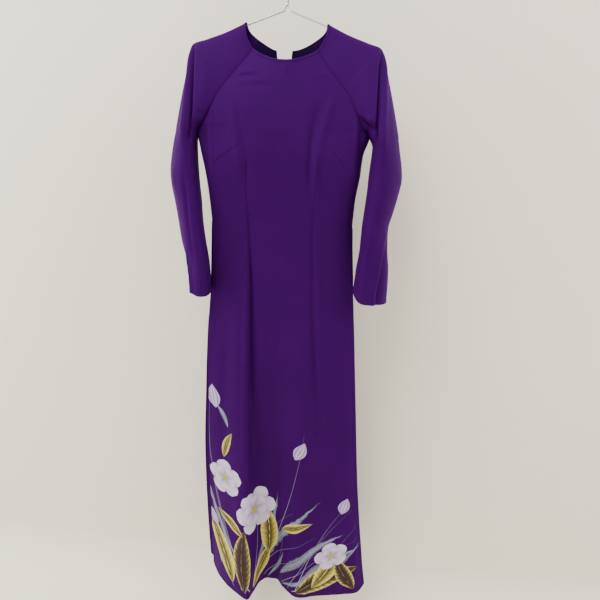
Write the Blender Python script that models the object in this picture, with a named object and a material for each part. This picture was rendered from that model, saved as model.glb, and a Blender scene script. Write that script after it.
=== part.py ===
"""A long-sleeved raglan ao dai tunic, hanging on a twisted wire hanger.

Frame: metres, +Z up, the tunic's front faces -Y and +X is the viewer's right.  The origin is the
inside top of the hanger's hook.  A "drop" is a distance down from the neck points, where the
neckline crosses the shoulder line.  Every cloth piece is a wall: a grid of outer points and the
same grid moved in by the cloth's thickness.  Pieces sewn together share a seam curve and stand a
seam gap apart along it.
"""
import math
from collections import namedtuple

import bmesh
import bpy
import numpy as np
from mathutils import Vector

# ---------------------------------------------------------------- driving sizes, metres
CLOTH = 0.0015             # thickness of a cloth wall
FACING = 0.0010            # thickness of the back neck facing
BINDING = 0.0010           # thickness of the neck binding
BINDING_WIDTH = 0.006
SEAM_GAP = 0.0003          # clear space between two pieces that are sewn together

WIRE_RADIUS = 0.0015
HOOK_RADIUS = 0.0215       # to the wire's centre line
HOOK_START = 205.0         # degrees round the hook at its open end
HOOK_STEPS = 14
HOOK_STEP = 18.0           # degrees between two points of the hook
STEM_POINTS = ((0.0050, -0.0045), (0.0006, -0.0150))   # x, and z under the hook's circle
ARM_SLOPE = math.radians(19.6)    # of an arm between the twist and the neck point
RIDGE_SLOPE = math.radians(26.0)  # the steepest slope of the shoulder ridge over the arm
ARM_START = 0.006          # x where an arm leaves the twist
ARM_STEPS = 8              # spans of the arm under the shoulder ridge
ARM_SHARE = 0.455          # rib share where the arm's end bend begins
HANGER_CORNER = 0.0185     # bend radius at the arm's end
TWIST_TOP = -0.073
TWIST_BOTTOM = -0.1005
TWIST_TURNS = 2.25
TWIST_SETTLE = 0.35        # share of the twist over which its strands come to their spacing
TWIST_STEPS = 12           # points in one turn
CORNER_STEPS = 9           # spans round the arm's end
WIRE_SIDES = 8

NECK_POINT_Z = -0.131      # height of the neck points under the hook
NECK_POINT_X = 0.079
FRONT_SEAM_DROP = 0.048    # where the front raglan seam meets the neckline
BACK_SEAM_DROP = 0.0265
FRONT_NECK_SAG = 0.023     # neckline's centre below its ends, on the front panel
BACK_NECK_SAG = 0.0165
ARMPIT_DROP = 0.203
SLIT_DROP = 0.383          # top of the side slits
HEM_DROP = 1.350
HEM_CORNER_LIFT = 0.016
HEM_CORNER_DROP = 0.080    # the corner's rounding starts this far above the hem
FLATTEN_DROP = 0.150       # the body's round side flattens out this far below the slit
WAVE_GROWTH = 1.4          # power by which the hem's wave grows from the slit down
OPENING_HALF = 0.0162      # half the back opening's width at the neckline
OPENING_OFFSET = -0.006    # the open edges hang a little to one side
OPENING_END_DROP = 0.142
FACING_DEPTH_ROWS = 5
BUST_DROP = 0.255
BUST_X = 0.085
BUST_SPREAD = 0.045
BUST_FULLNESS = 0.006

YOKE_ROWS = 16             # rows from the neckline to the armpit
BODY_ROWS = 6              # rows from the armpit to the slits
NECK_CURVE_ROWS = 9.6      # rows over which the neckline's curve flattens out
TAIL_ROWS = 16             # rows from the slits to the hem
ARM_ROWS = 14              # rows from the armpit to the cuff
FRONT_COLUMNS = 26
BACK_COLUMNS = 12          # each half of the back
SLEEVE_COLUMNS = 8         # each of the front and back halves of a sleeve
LEFT, RIGHT = -1, 1

PURPLE = (0.048, 0.006, 0.125, 1.0)
NAVY_PURPLE = (0.012, 0.004, 0.045, 1.0)
STEEL = (0.62, 0.62, 0.60, 1.0)

# ---------------------------------------------------------------- section tables
# One row for each level of the body: x of the left and right seams or side edges, and how far the
# front and back stand from the middle plane, at the edge and at the centre.  rounded: 0 is a
# shallow arch, 1 turns right round at the side.  The corners say how flat it stays until it turns.
BODY_COLUMNS = "drop left right front_edge front back_edge back rounded front_corner back_corner"
Body = namedtuple("Body", BODY_COLUMNS)
BODY = (
    Body(BACK_SEAM_DROP, -0.0585, 0.0585, 0.010, 0.026, 0.009, 0.016, 0.10, 3.0, 3.0),
    Body(FRONT_SEAM_DROP, -0.0645, 0.0645, 0.013, 0.028, 0.012, 0.019, 0.12, 3.0, 3.0),
    Body(0.060, -0.0720, 0.0720, 0.016, 0.030, 0.014, 0.021, 0.15, 3.0, 3.0),
    Body(0.090, -0.0950, 0.0940, 0.026, 0.036, 0.020, 0.026, 0.25, 3.0, 3.0),
    Body(0.135, -0.1290, 0.1310, 0.037, 0.045, 0.027, 0.031, 0.45, 5.0, 4.0),
    Body(0.165, -0.1430, 0.1460, 0.041, 0.050, 0.029, 0.034, 0.62, 8.0, 6.0),
    Body(0.190, -0.1590, 0.1610, 0.035, 0.052, 0.025, 0.035, 0.80, 11.0, 9.0),
    Body(ARMPIT_DROP, -0.1765, 0.1765, 0.000, 0.053, 0.000, 0.035, 0.88, 13.0, 11.0),
    Body(0.240, -0.1700, 0.1660, 0.000, 0.053, 0.000, 0.035, 0.97, 12.0, 9.0),
    Body(0.280, -0.1617, 0.1630, 0.000, 0.050, 0.000, 0.033, 1.0, 11.0, 7.0),
    Body(0.330, -0.1548, 0.1565, 0.000, 0.042, 0.000, 0.028, 1.0, 9.0, 5.0),
    Body(SLIT_DROP, -0.1495, 0.1545, 0.000, 0.034, 0.000, 0.024, 1.0, 7.0, 4.0),
)
# The free tails below the slits.
Tail = namedtuple("Tail", "drop left right edge middle")
FRONT_TAIL = (
    Tail(SLIT_DROP, -0.1495, 0.1545, 0.000, 0.034),
    Tail(0.450, -0.1490, 0.1590, 0.009, 0.030),
    Tail(0.520, -0.1500, 0.1660, 0.012, 0.029),
    Tail(0.640, -0.1580, 0.1780, 0.013, 0.029),
    Tail(0.820, -0.1610, 0.1945, 0.013, 0.029),
    Tail(0.990, -0.1640, 0.2105, 0.013, 0.030),
    Tail(1.110, -0.1620, 0.2245, 0.013, 0.030),
    Tail(1.220, -0.1600, 0.2390, 0.013, 0.030),
    Tail(HEM_DROP, -0.1600, 0.2560, 0.013, 0.030),
)
BACK_TAIL = (
    Tail(SLIT_DROP, -0.1495, 0.1545, 0.000, 0.024),
    Tail(0.450, -0.1500, 0.1560, 0.012, 0.027),
    Tail(0.520, -0.1540, 0.1610, 0.020, 0.030),
    Tail(0.640, -0.1710, 0.1720, 0.024, 0.032),
    Tail(0.820, -0.1800, 0.1880, 0.026, 0.034),
    Tail(0.990, -0.1860, 0.2030, 0.028, 0.036),
    Tail(1.110, -0.1850, 0.2160, 0.030, 0.038),
    Tail(HEM_DROP, -0.1770, 0.2380, 0.032, 0.040),
)
# The wave of each hem, seen from below: share is the place along the hem's cut edge.
Hem = namedtuple("Hem", "share x y")
FRONT_HEM = (
    Hem(0.000, -0.160, 0.029),
    Hem(0.090, -0.128, -0.007),
    Hem(0.190, -0.087, -0.040),
    Hem(0.277, -0.048, -0.062),
    Hem(0.330, -0.037, -0.037),
    Hem(0.390, -0.024, -0.002),
    Hem(0.450, -0.004, 0.012),
    Hem(0.490, 0.018, 0.011),
    Hem(0.550, 0.041, -0.012),
    Hem(0.650, 0.082, -0.039),
    Hem(0.753, 0.135, -0.027),
    Hem(0.865, 0.193, -0.016),
    Hem(0.943, 0.233, -0.008),
    Hem(1.000, 0.256, 0.012),
)
BACK_HEM = (
    Hem(0.000, -0.177, 0.058),
    Hem(0.150, -0.120, 0.047),
    Hem(0.330, -0.050, 0.068),
    Hem(0.480, 0.008, 0.050),
    Hem(0.660, 0.085, 0.067),
    Hem(0.840, 0.168, 0.045),
    Hem(1.000, 0.238, 0.056),
)
# Ribs of the raglan, each from the front seam over the shoulder ridge to the back seam.
RIB_COLUMNS = "share front_drop back_drop left_ridge right_ridge ridge_drop front_depth back_depth bow turn"
Rib = namedtuple("Rib", RIB_COLUMNS)
RIBS = (
    Rib(0.00, FRONT_SEAM_DROP, BACK_SEAM_DROP, NECK_POINT_X, NECK_POINT_X, 0.0, 0.013, 0.009, 0.006, 0.0),
    Rib(0.20, 0.0740, 0.0640, 0.1180, 0.1180, 0.0172, 0.020, 0.016, 0.002, 0.0),
    Rib(0.40, 0.1020, 0.0980, 0.1600, 0.1600, 0.0320, 0.029, 0.023, 0.000, 0.1),
    Rib(0.52, 0.1200, 0.1180, 0.1868, 0.1850, 0.0405, 0.034, 0.028, 0.000, 0.4),
    Rib(0.60, 0.1330, 0.1320, 0.1930, 0.1930, 0.0530, 0.038, 0.033, 0.000, 0.6),
    Rib(0.72, 0.1540, 0.1540, 0.1995, 0.2015, 0.0840, 0.044, 0.040, 0.000, 0.8),
    Rib(0.86, 0.1800, 0.1800, 0.2115, 0.2160, 0.1320, 0.052, 0.049, 0.000, 1.0),
    Rib(1.00, ARMPIT_DROP, ARMPIT_DROP, 0.2260, 0.2345, 0.2000, 0.058, 0.056, 0.000, 1.0),
)
# Rings of each arm, from the armpit to the cuff: x of its outer and inner sides.
Ring = namedtuple("Ring", "drop outer inner")
LEFT_ARM = (
    Ring(ARMPIT_DROP, 0.2260, 0.1765),
    Ring(0.223, 0.2308, 0.1815),
    Ring(0.263, 0.2375, 0.1805),
    Ring(0.284, 0.2395, 0.1791),
    Ring(0.305, 0.2382, 0.1774),
    Ring(0.347, 0.2298, 0.1720),
    Ring(0.390, 0.2216, 0.1682),
    Ring(0.434, 0.2133, 0.1613),
    Ring(0.478, 0.2022, 0.1540),
    Ring(0.510, 0.1985, 0.1520),
    Ring(0.545, 0.1980, 0.1520),
)
RIGHT_ARM = (
    Ring(ARMPIT_DROP, 0.2345, 0.1765),
    Ring(0.223, 0.2384, 0.1860),
    Ring(0.263, 0.2464, 0.1838),
    Ring(0.284, 0.2484, 0.1827),
    Ring(0.305, 0.2460, 0.1822),
    Ring(0.347, 0.2375, 0.1793),
    Ring(0.388, 0.2290, 0.1765),
    Ring(0.430, 0.2310, 0.1755),
    Ring(0.474, 0.2370, 0.1706),
    Ring(0.508, 0.2382, 0.1702),
    Ring(0.540, 0.2380, 0.1700),
)
# How far each arm's front is turned inward, and its back outward, for each metre of its depth.
SLEEVE_TURN = {LEFT: 0.30, RIGHT: 0.18}
# Depth of both arms: the middle's place in y, and the front and back half depths.
ArmDepth = namedtuple("ArmDepth", "drop middle front back")
ARM_DEPTH = (
    ArmDepth(ARMPIT_DROP, 0.000, 0.058, 0.056),
    ArmDepth(0.284, -0.003, 0.057, 0.054),
    ArmDepth(0.368, -0.009, 0.050, 0.048),
    ArmDepth(0.434, -0.014, 0.046, 0.044),
    ArmDepth(0.545, -0.020, 0.042, 0.040),
)


# ---------------------------------------------------------------- reading the tables
def smooth(table, column, at):
    """The column's value at `at` along the table's first column: monotone cubic, no overshoot."""
    knots = [row[0] for row in table]
    values = [getattr(row, column) for row in table]
    at = min(max(at, knots[0]), knots[-1])
    last = len(knots) - 2
    span = min(max(sum(knot <= at for knot in knots) - 1, 0), last)
    slopes = [(values[i + 1] - values[i]) / (knots[i + 1] - knots[i]) for i in range(last + 1)]

    def tangent(i):
        if i == 0:
            return slopes[0]
        if i > last:
            return slopes[last]
        if slopes[i - 1] * slopes[i] <= 0.0:
            return 0.0
        return 2.0 * slopes[i - 1] * slopes[i] / (slopes[i - 1] + slopes[i])

    step = knots[span + 1] - knots[span]
    t = (at - knots[span]) / step
    rise = values[span + 1] - values[span]
    start = step * tangent(span)
    end = step * tangent(span + 1)
    cubic = start + end - 2.0 * rise
    square = 3.0 * rise - 2.0 * start - end
    return values[span] + t * (start + t * (square + t * cubic))


def blend(a, b, share):
    return a + (b - a) * share


def arch(side, rounded, corner):
    """1 at the middle (side 0) and 0 at the edges (side -1 or 1)."""
    shallow = 1.0 - side * side
    full = math.sqrt(max(1.0 - abs(side) ** corner, 0.0))
    return blend(shallow, full, rounded)


def shares(count):
    """count + 1 places from 0 to 1, closer together at both ends."""
    even = [i / count for i in range(count + 1)]
    return [0.5 * e + 0.25 * (1.0 - math.cos(math.pi * e)) for e in even]


def levels(seam_start):
    """The drop of each row at its seam or side edge: yoke, body, then tail."""
    yoke = [smooth(RIBS, seam_start, i / YOKE_ROWS) for i in range(YOKE_ROWS + 1)]
    body = [blend(ARMPIT_DROP, SLIT_DROP, i / BODY_ROWS) for i in range(1, BODY_ROWS + 1)]
    tail = [blend(SLIT_DROP, HEM_DROP, i / TAIL_ROWS) for i in range(1, TAIL_ROWS + 1)]
    return yoke + body + tail


def place(x, y, drop):
    return (x, y, NECK_POINT_Z - drop)


# ---------------------------------------------------------------- front and back
def neck_sag(row, amount):
    """How far a yoke row's middle hangs below its ends: the neckline's curve, flattening out."""
    return amount * max(1.0 - row / NECK_CURVE_ROWS, 0.0) ** 1.5


def bust(x, drop):
    reach = ((abs(x) - BUST_X) ** 2 + (drop - BUST_DROP) ** 2) / BUST_SPREAD ** 2
    return BUST_FULLNESS * math.exp(-reach)


def body_point(drop_at_edge, drop, share, edge, middle):
    """x and depth of a point between the two side edges, above the slits."""
    left = smooth(BODY, "left", drop_at_edge)
    right = smooth(BODY, "right", drop_at_edge)
    rounded = smooth(BODY, "rounded", drop_at_edge)
    corner = smooth(BODY, middle + "_corner", drop_at_edge)
    rise = arch(2.0 * share - 1.0, rounded, corner)
    depth = blend(smooth(BODY, edge, drop_at_edge), smooth(BODY, middle, drop), rise)
    return blend(left, right, share), depth


def tail_point(tail, hem, facing, drop, share):
    """x and y of a point of a free tail: flat cloth at the slit, the hem's wave at the bottom."""
    wave = ((drop - SLIT_DROP) / (HEM_DROP - SLIT_DROP)) ** WAVE_GROWTH
    hem_x = smooth(hem, "x", share)
    hem_share = (hem_x - hem[0].x) / (hem[-1].x - hem[0].x)
    across = blend(share, hem_share, wave)
    x = blend(smooth(tail, "left", drop), smooth(tail, "right", drop), across)
    rounded = max(1.0 - (drop - SLIT_DROP) / FLATTEN_DROP, 0.0)
    corner = BODY[-1].front_corner if facing < 0.0 else BODY[-1].back_corner
    rise = arch(2.0 * share - 1.0, rounded, corner)
    depth = blend(smooth(tail, "edge", drop), smooth(tail, "middle", drop), rise)
    return x, blend(facing * depth, smooth(hem, "y", share), wave)


def hem_lift(drop, share):
    near_hem = max(1.0 - (HEM_DROP - drop) / HEM_CORNER_DROP, 0.0)
    return HEM_CORNER_LIFT * abs(2.0 * share - 1.0) ** 16 * near_hem


def front_grid():
    grid = []
    for row, edge_drop in enumerate(levels("front_drop")):
        line = []
        for share in shares(FRONT_COLUMNS):
            if row <= YOKE_ROWS + BODY_ROWS:
                side = 2.0 * share - 1.0
                drop = edge_drop + neck_sag(row, FRONT_NECK_SAG) * (1.0 - side * side)
                x, depth = body_point(edge_drop, drop, share, "front_edge", "front")
                if row > 0:
                    depth += bust(x, drop) * (1.0 - side ** 8)
                line.append(place(x, -depth, drop))
            else:
                x, y = tail_point(FRONT_TAIL, FRONT_HEM, -1.0, edge_drop, share)
                line.append(place(x, y, edge_drop - hem_lift(edge_drop, share)))
        grid.append(line)
    return np.array(grid)


def opening_edge(drop, half):
    """How far the centre-back edge stands open: widest at the neck, then a straight seam."""
    top_drop = BACK_SEAM_DROP + BACK_NECK_SAG
    open_share = max((OPENING_END_DROP - drop) / (OPENING_END_DROP - top_drop), 0.0)
    return open_share * (OPENING_OFFSET + half * OPENING_HALF)


def back_grid(half):
    """One half of the back, its columns from the side edge to the centre back."""
    grid = []
    for row, edge_drop in enumerate(levels("back_drop")):
        line = []
        for column in range(BACK_COLUMNS + 1):
            toward_centre = 2.0 * shares(2 * BACK_COLUMNS)[column]
            share = 0.5 + 0.5 * half * (1.0 - toward_centre)
            if row <= YOKE_ROWS + BODY_ROWS:
                sag = neck_sag(row, BACK_NECK_SAG) * (1.0 - (1.0 - toward_centre) ** 2)
                drop = edge_drop + sag
                x, depth = body_point(edge_drop, drop, share, "back_edge", "back")
                x += opening_edge(drop, half) * toward_centre ** 2
                line.append(place(x, depth, drop))
            else:
                x, y = tail_point(BACK_TAIL, BACK_HEM, 1.0, edge_drop, share)
                line.append(place(x, y, edge_drop - hem_lift(edge_drop, share)))
        grid.append(line)
    return np.array(grid)


# ---------------------------------------------------------------- sleeves
def rib_arc(ridge, seam, seam_depth, half_depth, bow, facing, middle, turn):
    """Points from the seam to the ridge along part of an ellipse; front facing is -1, back 1."""
    reach = math.asin(min(seam_depth / half_depth, 1.0))
    start = math.pi - reach
    if half_depth - seam_depth < 1e-4:
        start = math.pi / 2.0
    points = []
    for step in range(SLEEVE_COLUMNS + 1):
        angle = start * (1.0 - step / SLEEVE_COLUMNS)
        across = (1.0 - math.cos(angle)) / (1.0 - math.cos(start))
        depth = half_depth * math.sin(angle)
        beyond = facing * (depth - blend(0.0, seam_depth, across))
        x = blend(ridge[0], seam[0], across) + bow * math.sin(math.pi * across) + turn * beyond
        points.append(place(x, middle + facing * depth, blend(ridge[1], seam[1], across)))
    return points


def sleeve_grid(half, arm):
    side = "left" if half == LEFT else "right"
    grid = []
    for row in range(YOKE_ROWS + 1):
        share = row / YOKE_ROWS
        ridge = (half * smooth(RIBS, side + "_ridge", share), smooth(RIBS, "ridge_drop", share))
        bow = half * smooth(RIBS, "bow", share)
        turn = half * SLEEVE_TURN[half] * smooth(RIBS, "turn", share)
        arcs = []
        for name, facing in (("front", -1.0), ("back", 1.0)):
            drop = smooth(RIBS, name + "_drop", share)
            seam = (smooth(BODY, side, drop), drop)
            depth = smooth(BODY, name + "_edge", drop)
            widest = max(smooth(RIBS, name + "_depth", share), depth)
            arcs.append(rib_arc(ridge, seam, depth, widest, bow, facing, 0.0, turn))
        grid.append(arcs[0] + arcs[1][-2::-1])
    cuff = arm[-1].drop
    for row in range(1, ARM_ROWS + 1):
        drop = blend(ARMPIT_DROP, cuff, row / ARM_ROWS)
        ridge = (half * smooth(arm, "outer", drop), drop)
        seam = (half * smooth(arm, "inner", drop), drop)
        middle = smooth(ARM_DEPTH, "middle", drop)
        front = rib_arc(ridge, seam, 0.0, smooth(ARM_DEPTH, "front", drop), 0.0, -1.0, middle, turn)
        back = rib_arc(ridge, seam, 0.0, smooth(ARM_DEPTH, "back", drop), 0.0, 1.0, middle, turn)
        grid.append(front + back[-2::-1])
    return np.array(grid)


# ---------------------------------------------------------------- walls
Panel = namedtuple("Panel", "name grid turn closed_from")   # turn: 1 where columns x rows face out


def outward(panel):
    """A normal at every grid point, from the faces that meet there."""
    grid = panel.grid
    diagonal = grid[1:, 1:] - grid[:-1, :-1]
    other = grid[1:, :-1] - grid[:-1, 1:]
    faces = panel.turn * np.cross(diagonal, other)
    normals = np.zeros_like(grid)
    normals[:-1, :-1] += faces
    normals[1:, :-1] += faces
    normals[:-1, 1:] += faces
    normals[1:, 1:] += faces
    if panel.closed_from is not None:
        ring = normals[panel.closed_from:, 0] + normals[panel.closed_from:, -1]
        normals[panel.closed_from:, 0] = ring
        normals[panel.closed_from:, -1] = ring
    return normals


def unit(vectors):
    return vectors / np.linalg.norm(vectors, axis=-1, keepdims=True)


def seam_key(point):
    return tuple(np.round(point, 5))


def shared_normals(panels):
    """Normals of every panel, equal where two panels share a seam point."""
    normals = {panel.name: outward(panel) for panel in panels}
    at_point = {}
    for panel in panels:
        for row in range(len(panel.grid)):
            for column in (0, -1):
                if panel.closed_from is None or row < panel.closed_from:
                    key = seam_key(panel.grid[row, column])
                    at_point.setdefault(key, []).append(unit(normals[panel.name][row, column]))
    for panel in panels:
        for row in range(len(panel.grid)):
            for column in (0, -1):
                if panel.closed_from is None or row < panel.closed_from:
                    key = seam_key(panel.grid[row, column])
                    normals[panel.name][row, column] = sum(at_point[key])
    return {name: unit(field) for name, field in normals.items()}


def parted(panel):
    """The panel's grid with its seam edges moved back by half the seam gap."""
    grid = panel.grid.copy()
    last = len(grid) if panel.closed_from is None else panel.closed_from
    for edge, inner in ((0, 1), (-1, -2)):
        inward = unit(panel.grid[:last, inner] - panel.grid[:last, edge])
        grid[:last, edge] += inward * SEAM_GAP / 2.0
    if panel.closed_from is not None:
        ring = grid[panel.closed_from]
        inward = unit(ring.mean(axis=0) - ring[0])
        ring[0] += inward * SEAM_GAP * 2.0
        ring[-1] = ring[0]
    return grid


def material(name, colour, roughness, metallic):
    made = bpy.data.materials.new(name)
    made.use_nodes = True
    shader = made.node_tree.nodes["Principled BSDF"]
    shader.inputs["Base Color"].default_value = colour
    shader.inputs["Roughness"].default_value = roughness
    shader.inputs["Metallic"].default_value = metallic
    return made


def add_object(name, bm, colour, roughness=0.6, metallic=0.0):
    bmesh.ops.recalc_face_normals(bm, faces=bm.faces)
    mesh = bpy.data.meshes.new(name)
    bm.to_mesh(mesh)
    bm.free()
    mesh.materials.append(material(name, colour, roughness, metallic))
    mesh.shade_smooth()
    mesh.set_sharp_from_angle(angle=math.radians(40.0))
    obj = bpy.data.objects.new(name, mesh)
    bpy.context.scene.collection.objects.link(obj)
    return obj


def add_wall(name, outer, inner, colour, closed_from=None):
    """A closed solid between two grids; rows from closed_from on are rings."""
    rows, columns = outer.shape[:2]
    bm = bmesh.new()
    layers = []
    for grid in (outer, inner):
        verts = []
        for row in range(rows):
            line = [bm.verts.new(point) for point in grid[row, :columns - 1]]
            ring = closed_from is not None and row >= closed_from
            line.append(line[0] if ring else bm.verts.new(grid[row, -1]))
            verts.append(line)
        layers.append(verts)
    skin = []
    for verts in layers:
        for row in range(rows - 1):
            for column in range(columns - 1):
                corners = (verts[row][column], verts[row + 1][column],
                           verts[row + 1][column + 1], verts[row][column + 1])
                kept = list(dict.fromkeys(corners))
                if len(kept) >= 3:
                    skin.append(bm.faces.new(kept))
    out, back = layers
    partner = {vert: back[r][c] for r, line in enumerate(out) for c, vert in enumerate(line)}
    rims = [edge for edge in bm.edges if len(edge.link_faces) == 1 and edge.verts[0] in partner]
    for edge in rims:
        a, b = edge.verts
        bm.faces.new((a, b, partner[b], partner[a]))
    bmesh.ops.triangulate(bm, faces=bm.faces, quad_method="SHORT_EDGE")
    return add_object(name, bm, colour)


# ---------------------------------------------------------------- the cloth
def make_panels():
    return [
        Panel("front", front_grid(), -1.0, None),
        Panel("back_left", back_grid(LEFT), 1.0, None),
        Panel("back_right", back_grid(RIGHT), -1.0, None),
        Panel("sleeve_left", sleeve_grid(LEFT, LEFT_ARM), 1.0, YOKE_ROWS),
        Panel("sleeve_right", sleeve_grid(RIGHT, RIGHT_ARM), -1.0, YOKE_ROWS),
    ]


def add_panels(panels, normals):
    for panel in panels:
        outer = parted(panel)
        inner = outer - normals[panel.name] * CLOTH
        add_wall(panel.name, outer, inner, PURPLE, panel.closed_from)


def neckline(panels, normals):
    """The neckline's points, their width's end a binding's width lower, and their normals."""
    order = (("back_left", -1), ("sleeve_left", -1), ("front", 1), ("sleeve_right", 1), ("back_right", 1))
    by_name = {panel.name: panel for panel in panels}
    top, low, facing = [], [], []
    for name, step in order:
        grid = by_name[name].grid[:2, ::step]
        lean = normals[name][:2, ::step]
        down = grid[0] + unit(grid[1] - grid[0]) * BINDING_WIDTH
        start = 0 if not top else 1
        top += list(grid[0][start:])
        low += list(down[start:])
        facing += list(lean[0][start:])
    return np.array(top), np.array(low), np.array(facing)


def add_neck_binding(panels, normals):
    """A narrow binding round the neckline, lying on the outside of five panels."""
    top, low, facing = neckline(panels, normals)
    base = np.stack((top, low))
    lift = np.stack((facing, facing))
    inner = base + lift * SEAM_GAP * 1.5
    outer = inner + lift * BINDING
    add_wall("neck_binding", outer, inner, PURPLE)


def add_back_facing(panel, normals):
    """The satin facing inside one half of the back, from the neckline down."""
    outer = parted(panel)[:FACING_DEPTH_ROWS + 1]
    lean = normals[panel.name][:FACING_DEPTH_ROWS + 1]
    clear = unit(outer[:, 1] - outer[:, 0]) * SEAM_GAP * 4.0
    outer[:, 0] += clear
    near = outer - lean * (CLOTH + SEAM_GAP)
    far = near - lean * FACING
    add_wall(panel.name.replace("back", "back_facing"), near, far, NAVY_PURPLE)


# ---------------------------------------------------------------- the hanger
def hook_route():
    centre_z = WIRE_RADIUS - HOOK_RADIUS
    points = []
    for step in range(HOOK_STEPS + 1):
        angle = math.radians(HOOK_START - HOOK_STEP * step)
        points.append((HOOK_RADIUS * math.cos(angle), 0.0, centre_z + HOOK_RADIUS * math.sin(angle)))
    points += [(x, 0.0, centre_z - HOOK_RADIUS + z) for x, z in STEM_POINTS]
    return points


def strand(phase, joined):
    """A strand of the twist, top to bottom; the joined one starts on the stem's centre line."""
    steps = int(TWIST_TURNS * TWIST_STEPS)
    spacing = 2.0 * (WIRE_RADIUS + SEAM_GAP)
    points = []
    for step in range(steps + 1):
        share = step / steps
        settle = min(share / TWIST_SETTLE, 1.0)
        radius = spacing / 2.0 * (settle if joined else 2.0 - settle)
        angle = phase - 2.0 * math.pi * TWIST_TURNS * (1.0 - share)
        z = blend(TWIST_TOP, TWIST_BOTTOM, share)
        points.append((radius * math.cos(angle), radius * math.sin(angle), z))
    return points


def arm_route():
    """The right arm: from the twist out, under the shoulder ridge, round to the lower bar."""
    under_cloth = (CLOTH + SEAM_GAP + WIRE_RADIUS) / math.cos(RIDGE_SLOPE)
    start_drop = under_cloth - (NECK_POINT_X - ARM_START) * math.tan(ARM_SLOPE)
    points = [place(ARM_START, 0.0, start_drop)]
    for step in range(ARM_STEPS + 1):
        share = ARM_SHARE * step / ARM_STEPS
        drop = smooth(RIBS, "ridge_drop", share) + under_cloth
        points.append(place(smooth(RIBS, "right_ridge", share), 0.0, drop))
    end_x, _, end_z = points.pop()
    centre_x = end_x - HANGER_CORNER * math.sin(ARM_SLOPE)
    centre_z = end_z - HANGER_CORNER * math.cos(ARM_SLOPE)
    for step in range(CORNER_STEPS + 1):
        angle = blend(math.pi / 2.0 - ARM_SLOPE, -math.pi / 2.0, step / CORNER_STEPS)
        points.append((centre_x + HANGER_CORNER * math.cos(angle), 0.0,
                       centre_z + HANGER_CORNER * math.sin(angle)))
    return points


def sweep(name, route, radius, colour):
    """A round wire along a route, with flat ends."""
    points = [Vector(point) for point in route]
    bm = bmesh.new()
    rings = []
    side = Vector((0.0, 1.0, 0.0))
    for index, point in enumerate(points):
        before = points[max(index - 1, 0)]
        after = points[min(index + 1, len(points) - 1)]
        along = (after - before).normalized()
        side = (side - along * side.dot(along)).normalized()
        across = along.cross(side)
        ring = []
        for corner in range(WIRE_SIDES):
            angle = 2.0 * math.pi * (corner + 0.5) / WIRE_SIDES
            ring.append(bm.verts.new(point + radius * (side * math.cos(angle) + across * math.sin(angle))))
        rings.append(ring)
    for ring, following in zip(rings, rings[1:]):
        for corner in range(WIRE_SIDES):
            beside = (corner + 1) % WIRE_SIDES
            bm.faces.new((ring[corner], ring[beside], following[beside], following[corner]))
    bm.faces.new(rings[0][::-1])
    bm.faces.new(rings[-1])
    return add_object(name, bm, colour, roughness=0.3, metallic=1.0)


def add_hanger():
    right_arm = arm_route()
    left_arm = [(-x, y, z) for x, y, z in reversed(right_arm)]
    route = hook_route() + strand(0.0, True) + right_arm + left_arm + strand(math.pi, False)[::-1]
    sweep("hanger_wire", route, WIRE_RADIUS, STEEL)


def main():
    for old in list(bpy.data.objects):
        bpy.data.objects.remove(old, do_unlink=True)
    panels = make_panels()
    normals = shared_normals(panels)
    add_panels(panels, normals)
    add_neck_binding(panels, normals)
    for panel in panels:
        if panel.name.startswith("back"):
            add_back_facing(panel, normals)
    add_hanger()


main()
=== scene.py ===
"""A long-sleeved ao dai tunic on a wire hanger: cloth, seams, hem painting, wire and studio.

Metres, +Z up, the tunic's front faces -Y and +X is the viewer's right.  The origin is the inside top
of the hanger's hook.  A "drop" is a distance down from the neck points, where the neckline crosses
the shoulder line.  Each cloth piece is a fine grid on the form that the model's sections give; folds
are added along the grid's normals, and the sheet then gets its thickness.
"""

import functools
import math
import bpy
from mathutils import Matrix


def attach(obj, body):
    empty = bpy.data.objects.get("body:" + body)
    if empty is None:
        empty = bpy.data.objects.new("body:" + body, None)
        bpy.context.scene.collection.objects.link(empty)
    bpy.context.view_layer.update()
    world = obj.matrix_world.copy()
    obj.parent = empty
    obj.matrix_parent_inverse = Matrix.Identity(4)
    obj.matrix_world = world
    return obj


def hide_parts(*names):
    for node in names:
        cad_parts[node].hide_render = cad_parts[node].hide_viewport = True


bl_info = {
    "name": "Ao dai tunic on a hanger",
    "version": (1, 0, 0),
    "blender": (4, 5, 0),
    "location": "3D View > Sidebar > Tunic",
    "description": "Builds the cloth, seams, hem painting, hanger and stage of an ao dai tunic",
    "category": "Add Mesh",
}

from collections import namedtuple

import bpy
import numpy as np
from mathutils import Matrix, Vector

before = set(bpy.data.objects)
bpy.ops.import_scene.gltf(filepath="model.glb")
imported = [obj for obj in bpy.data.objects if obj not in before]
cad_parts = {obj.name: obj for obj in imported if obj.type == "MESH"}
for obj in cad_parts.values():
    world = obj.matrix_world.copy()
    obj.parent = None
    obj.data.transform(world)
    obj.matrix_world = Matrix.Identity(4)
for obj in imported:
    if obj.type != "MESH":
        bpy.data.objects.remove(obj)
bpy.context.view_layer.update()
BODY_NAME = "root"
LEFT, RIGHT = -1, 1
SIDES = ("left", "right")
FACINGS = (("front", -1.0), ("back", 1.0))
TURN = 2.0 * math.pi


def named_rows(columns, *rows):
    """A table whose rows give their values by column name."""
    row_of = namedtuple("Row", columns)
    return tuple(row_of(*row) for row in rows)


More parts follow.
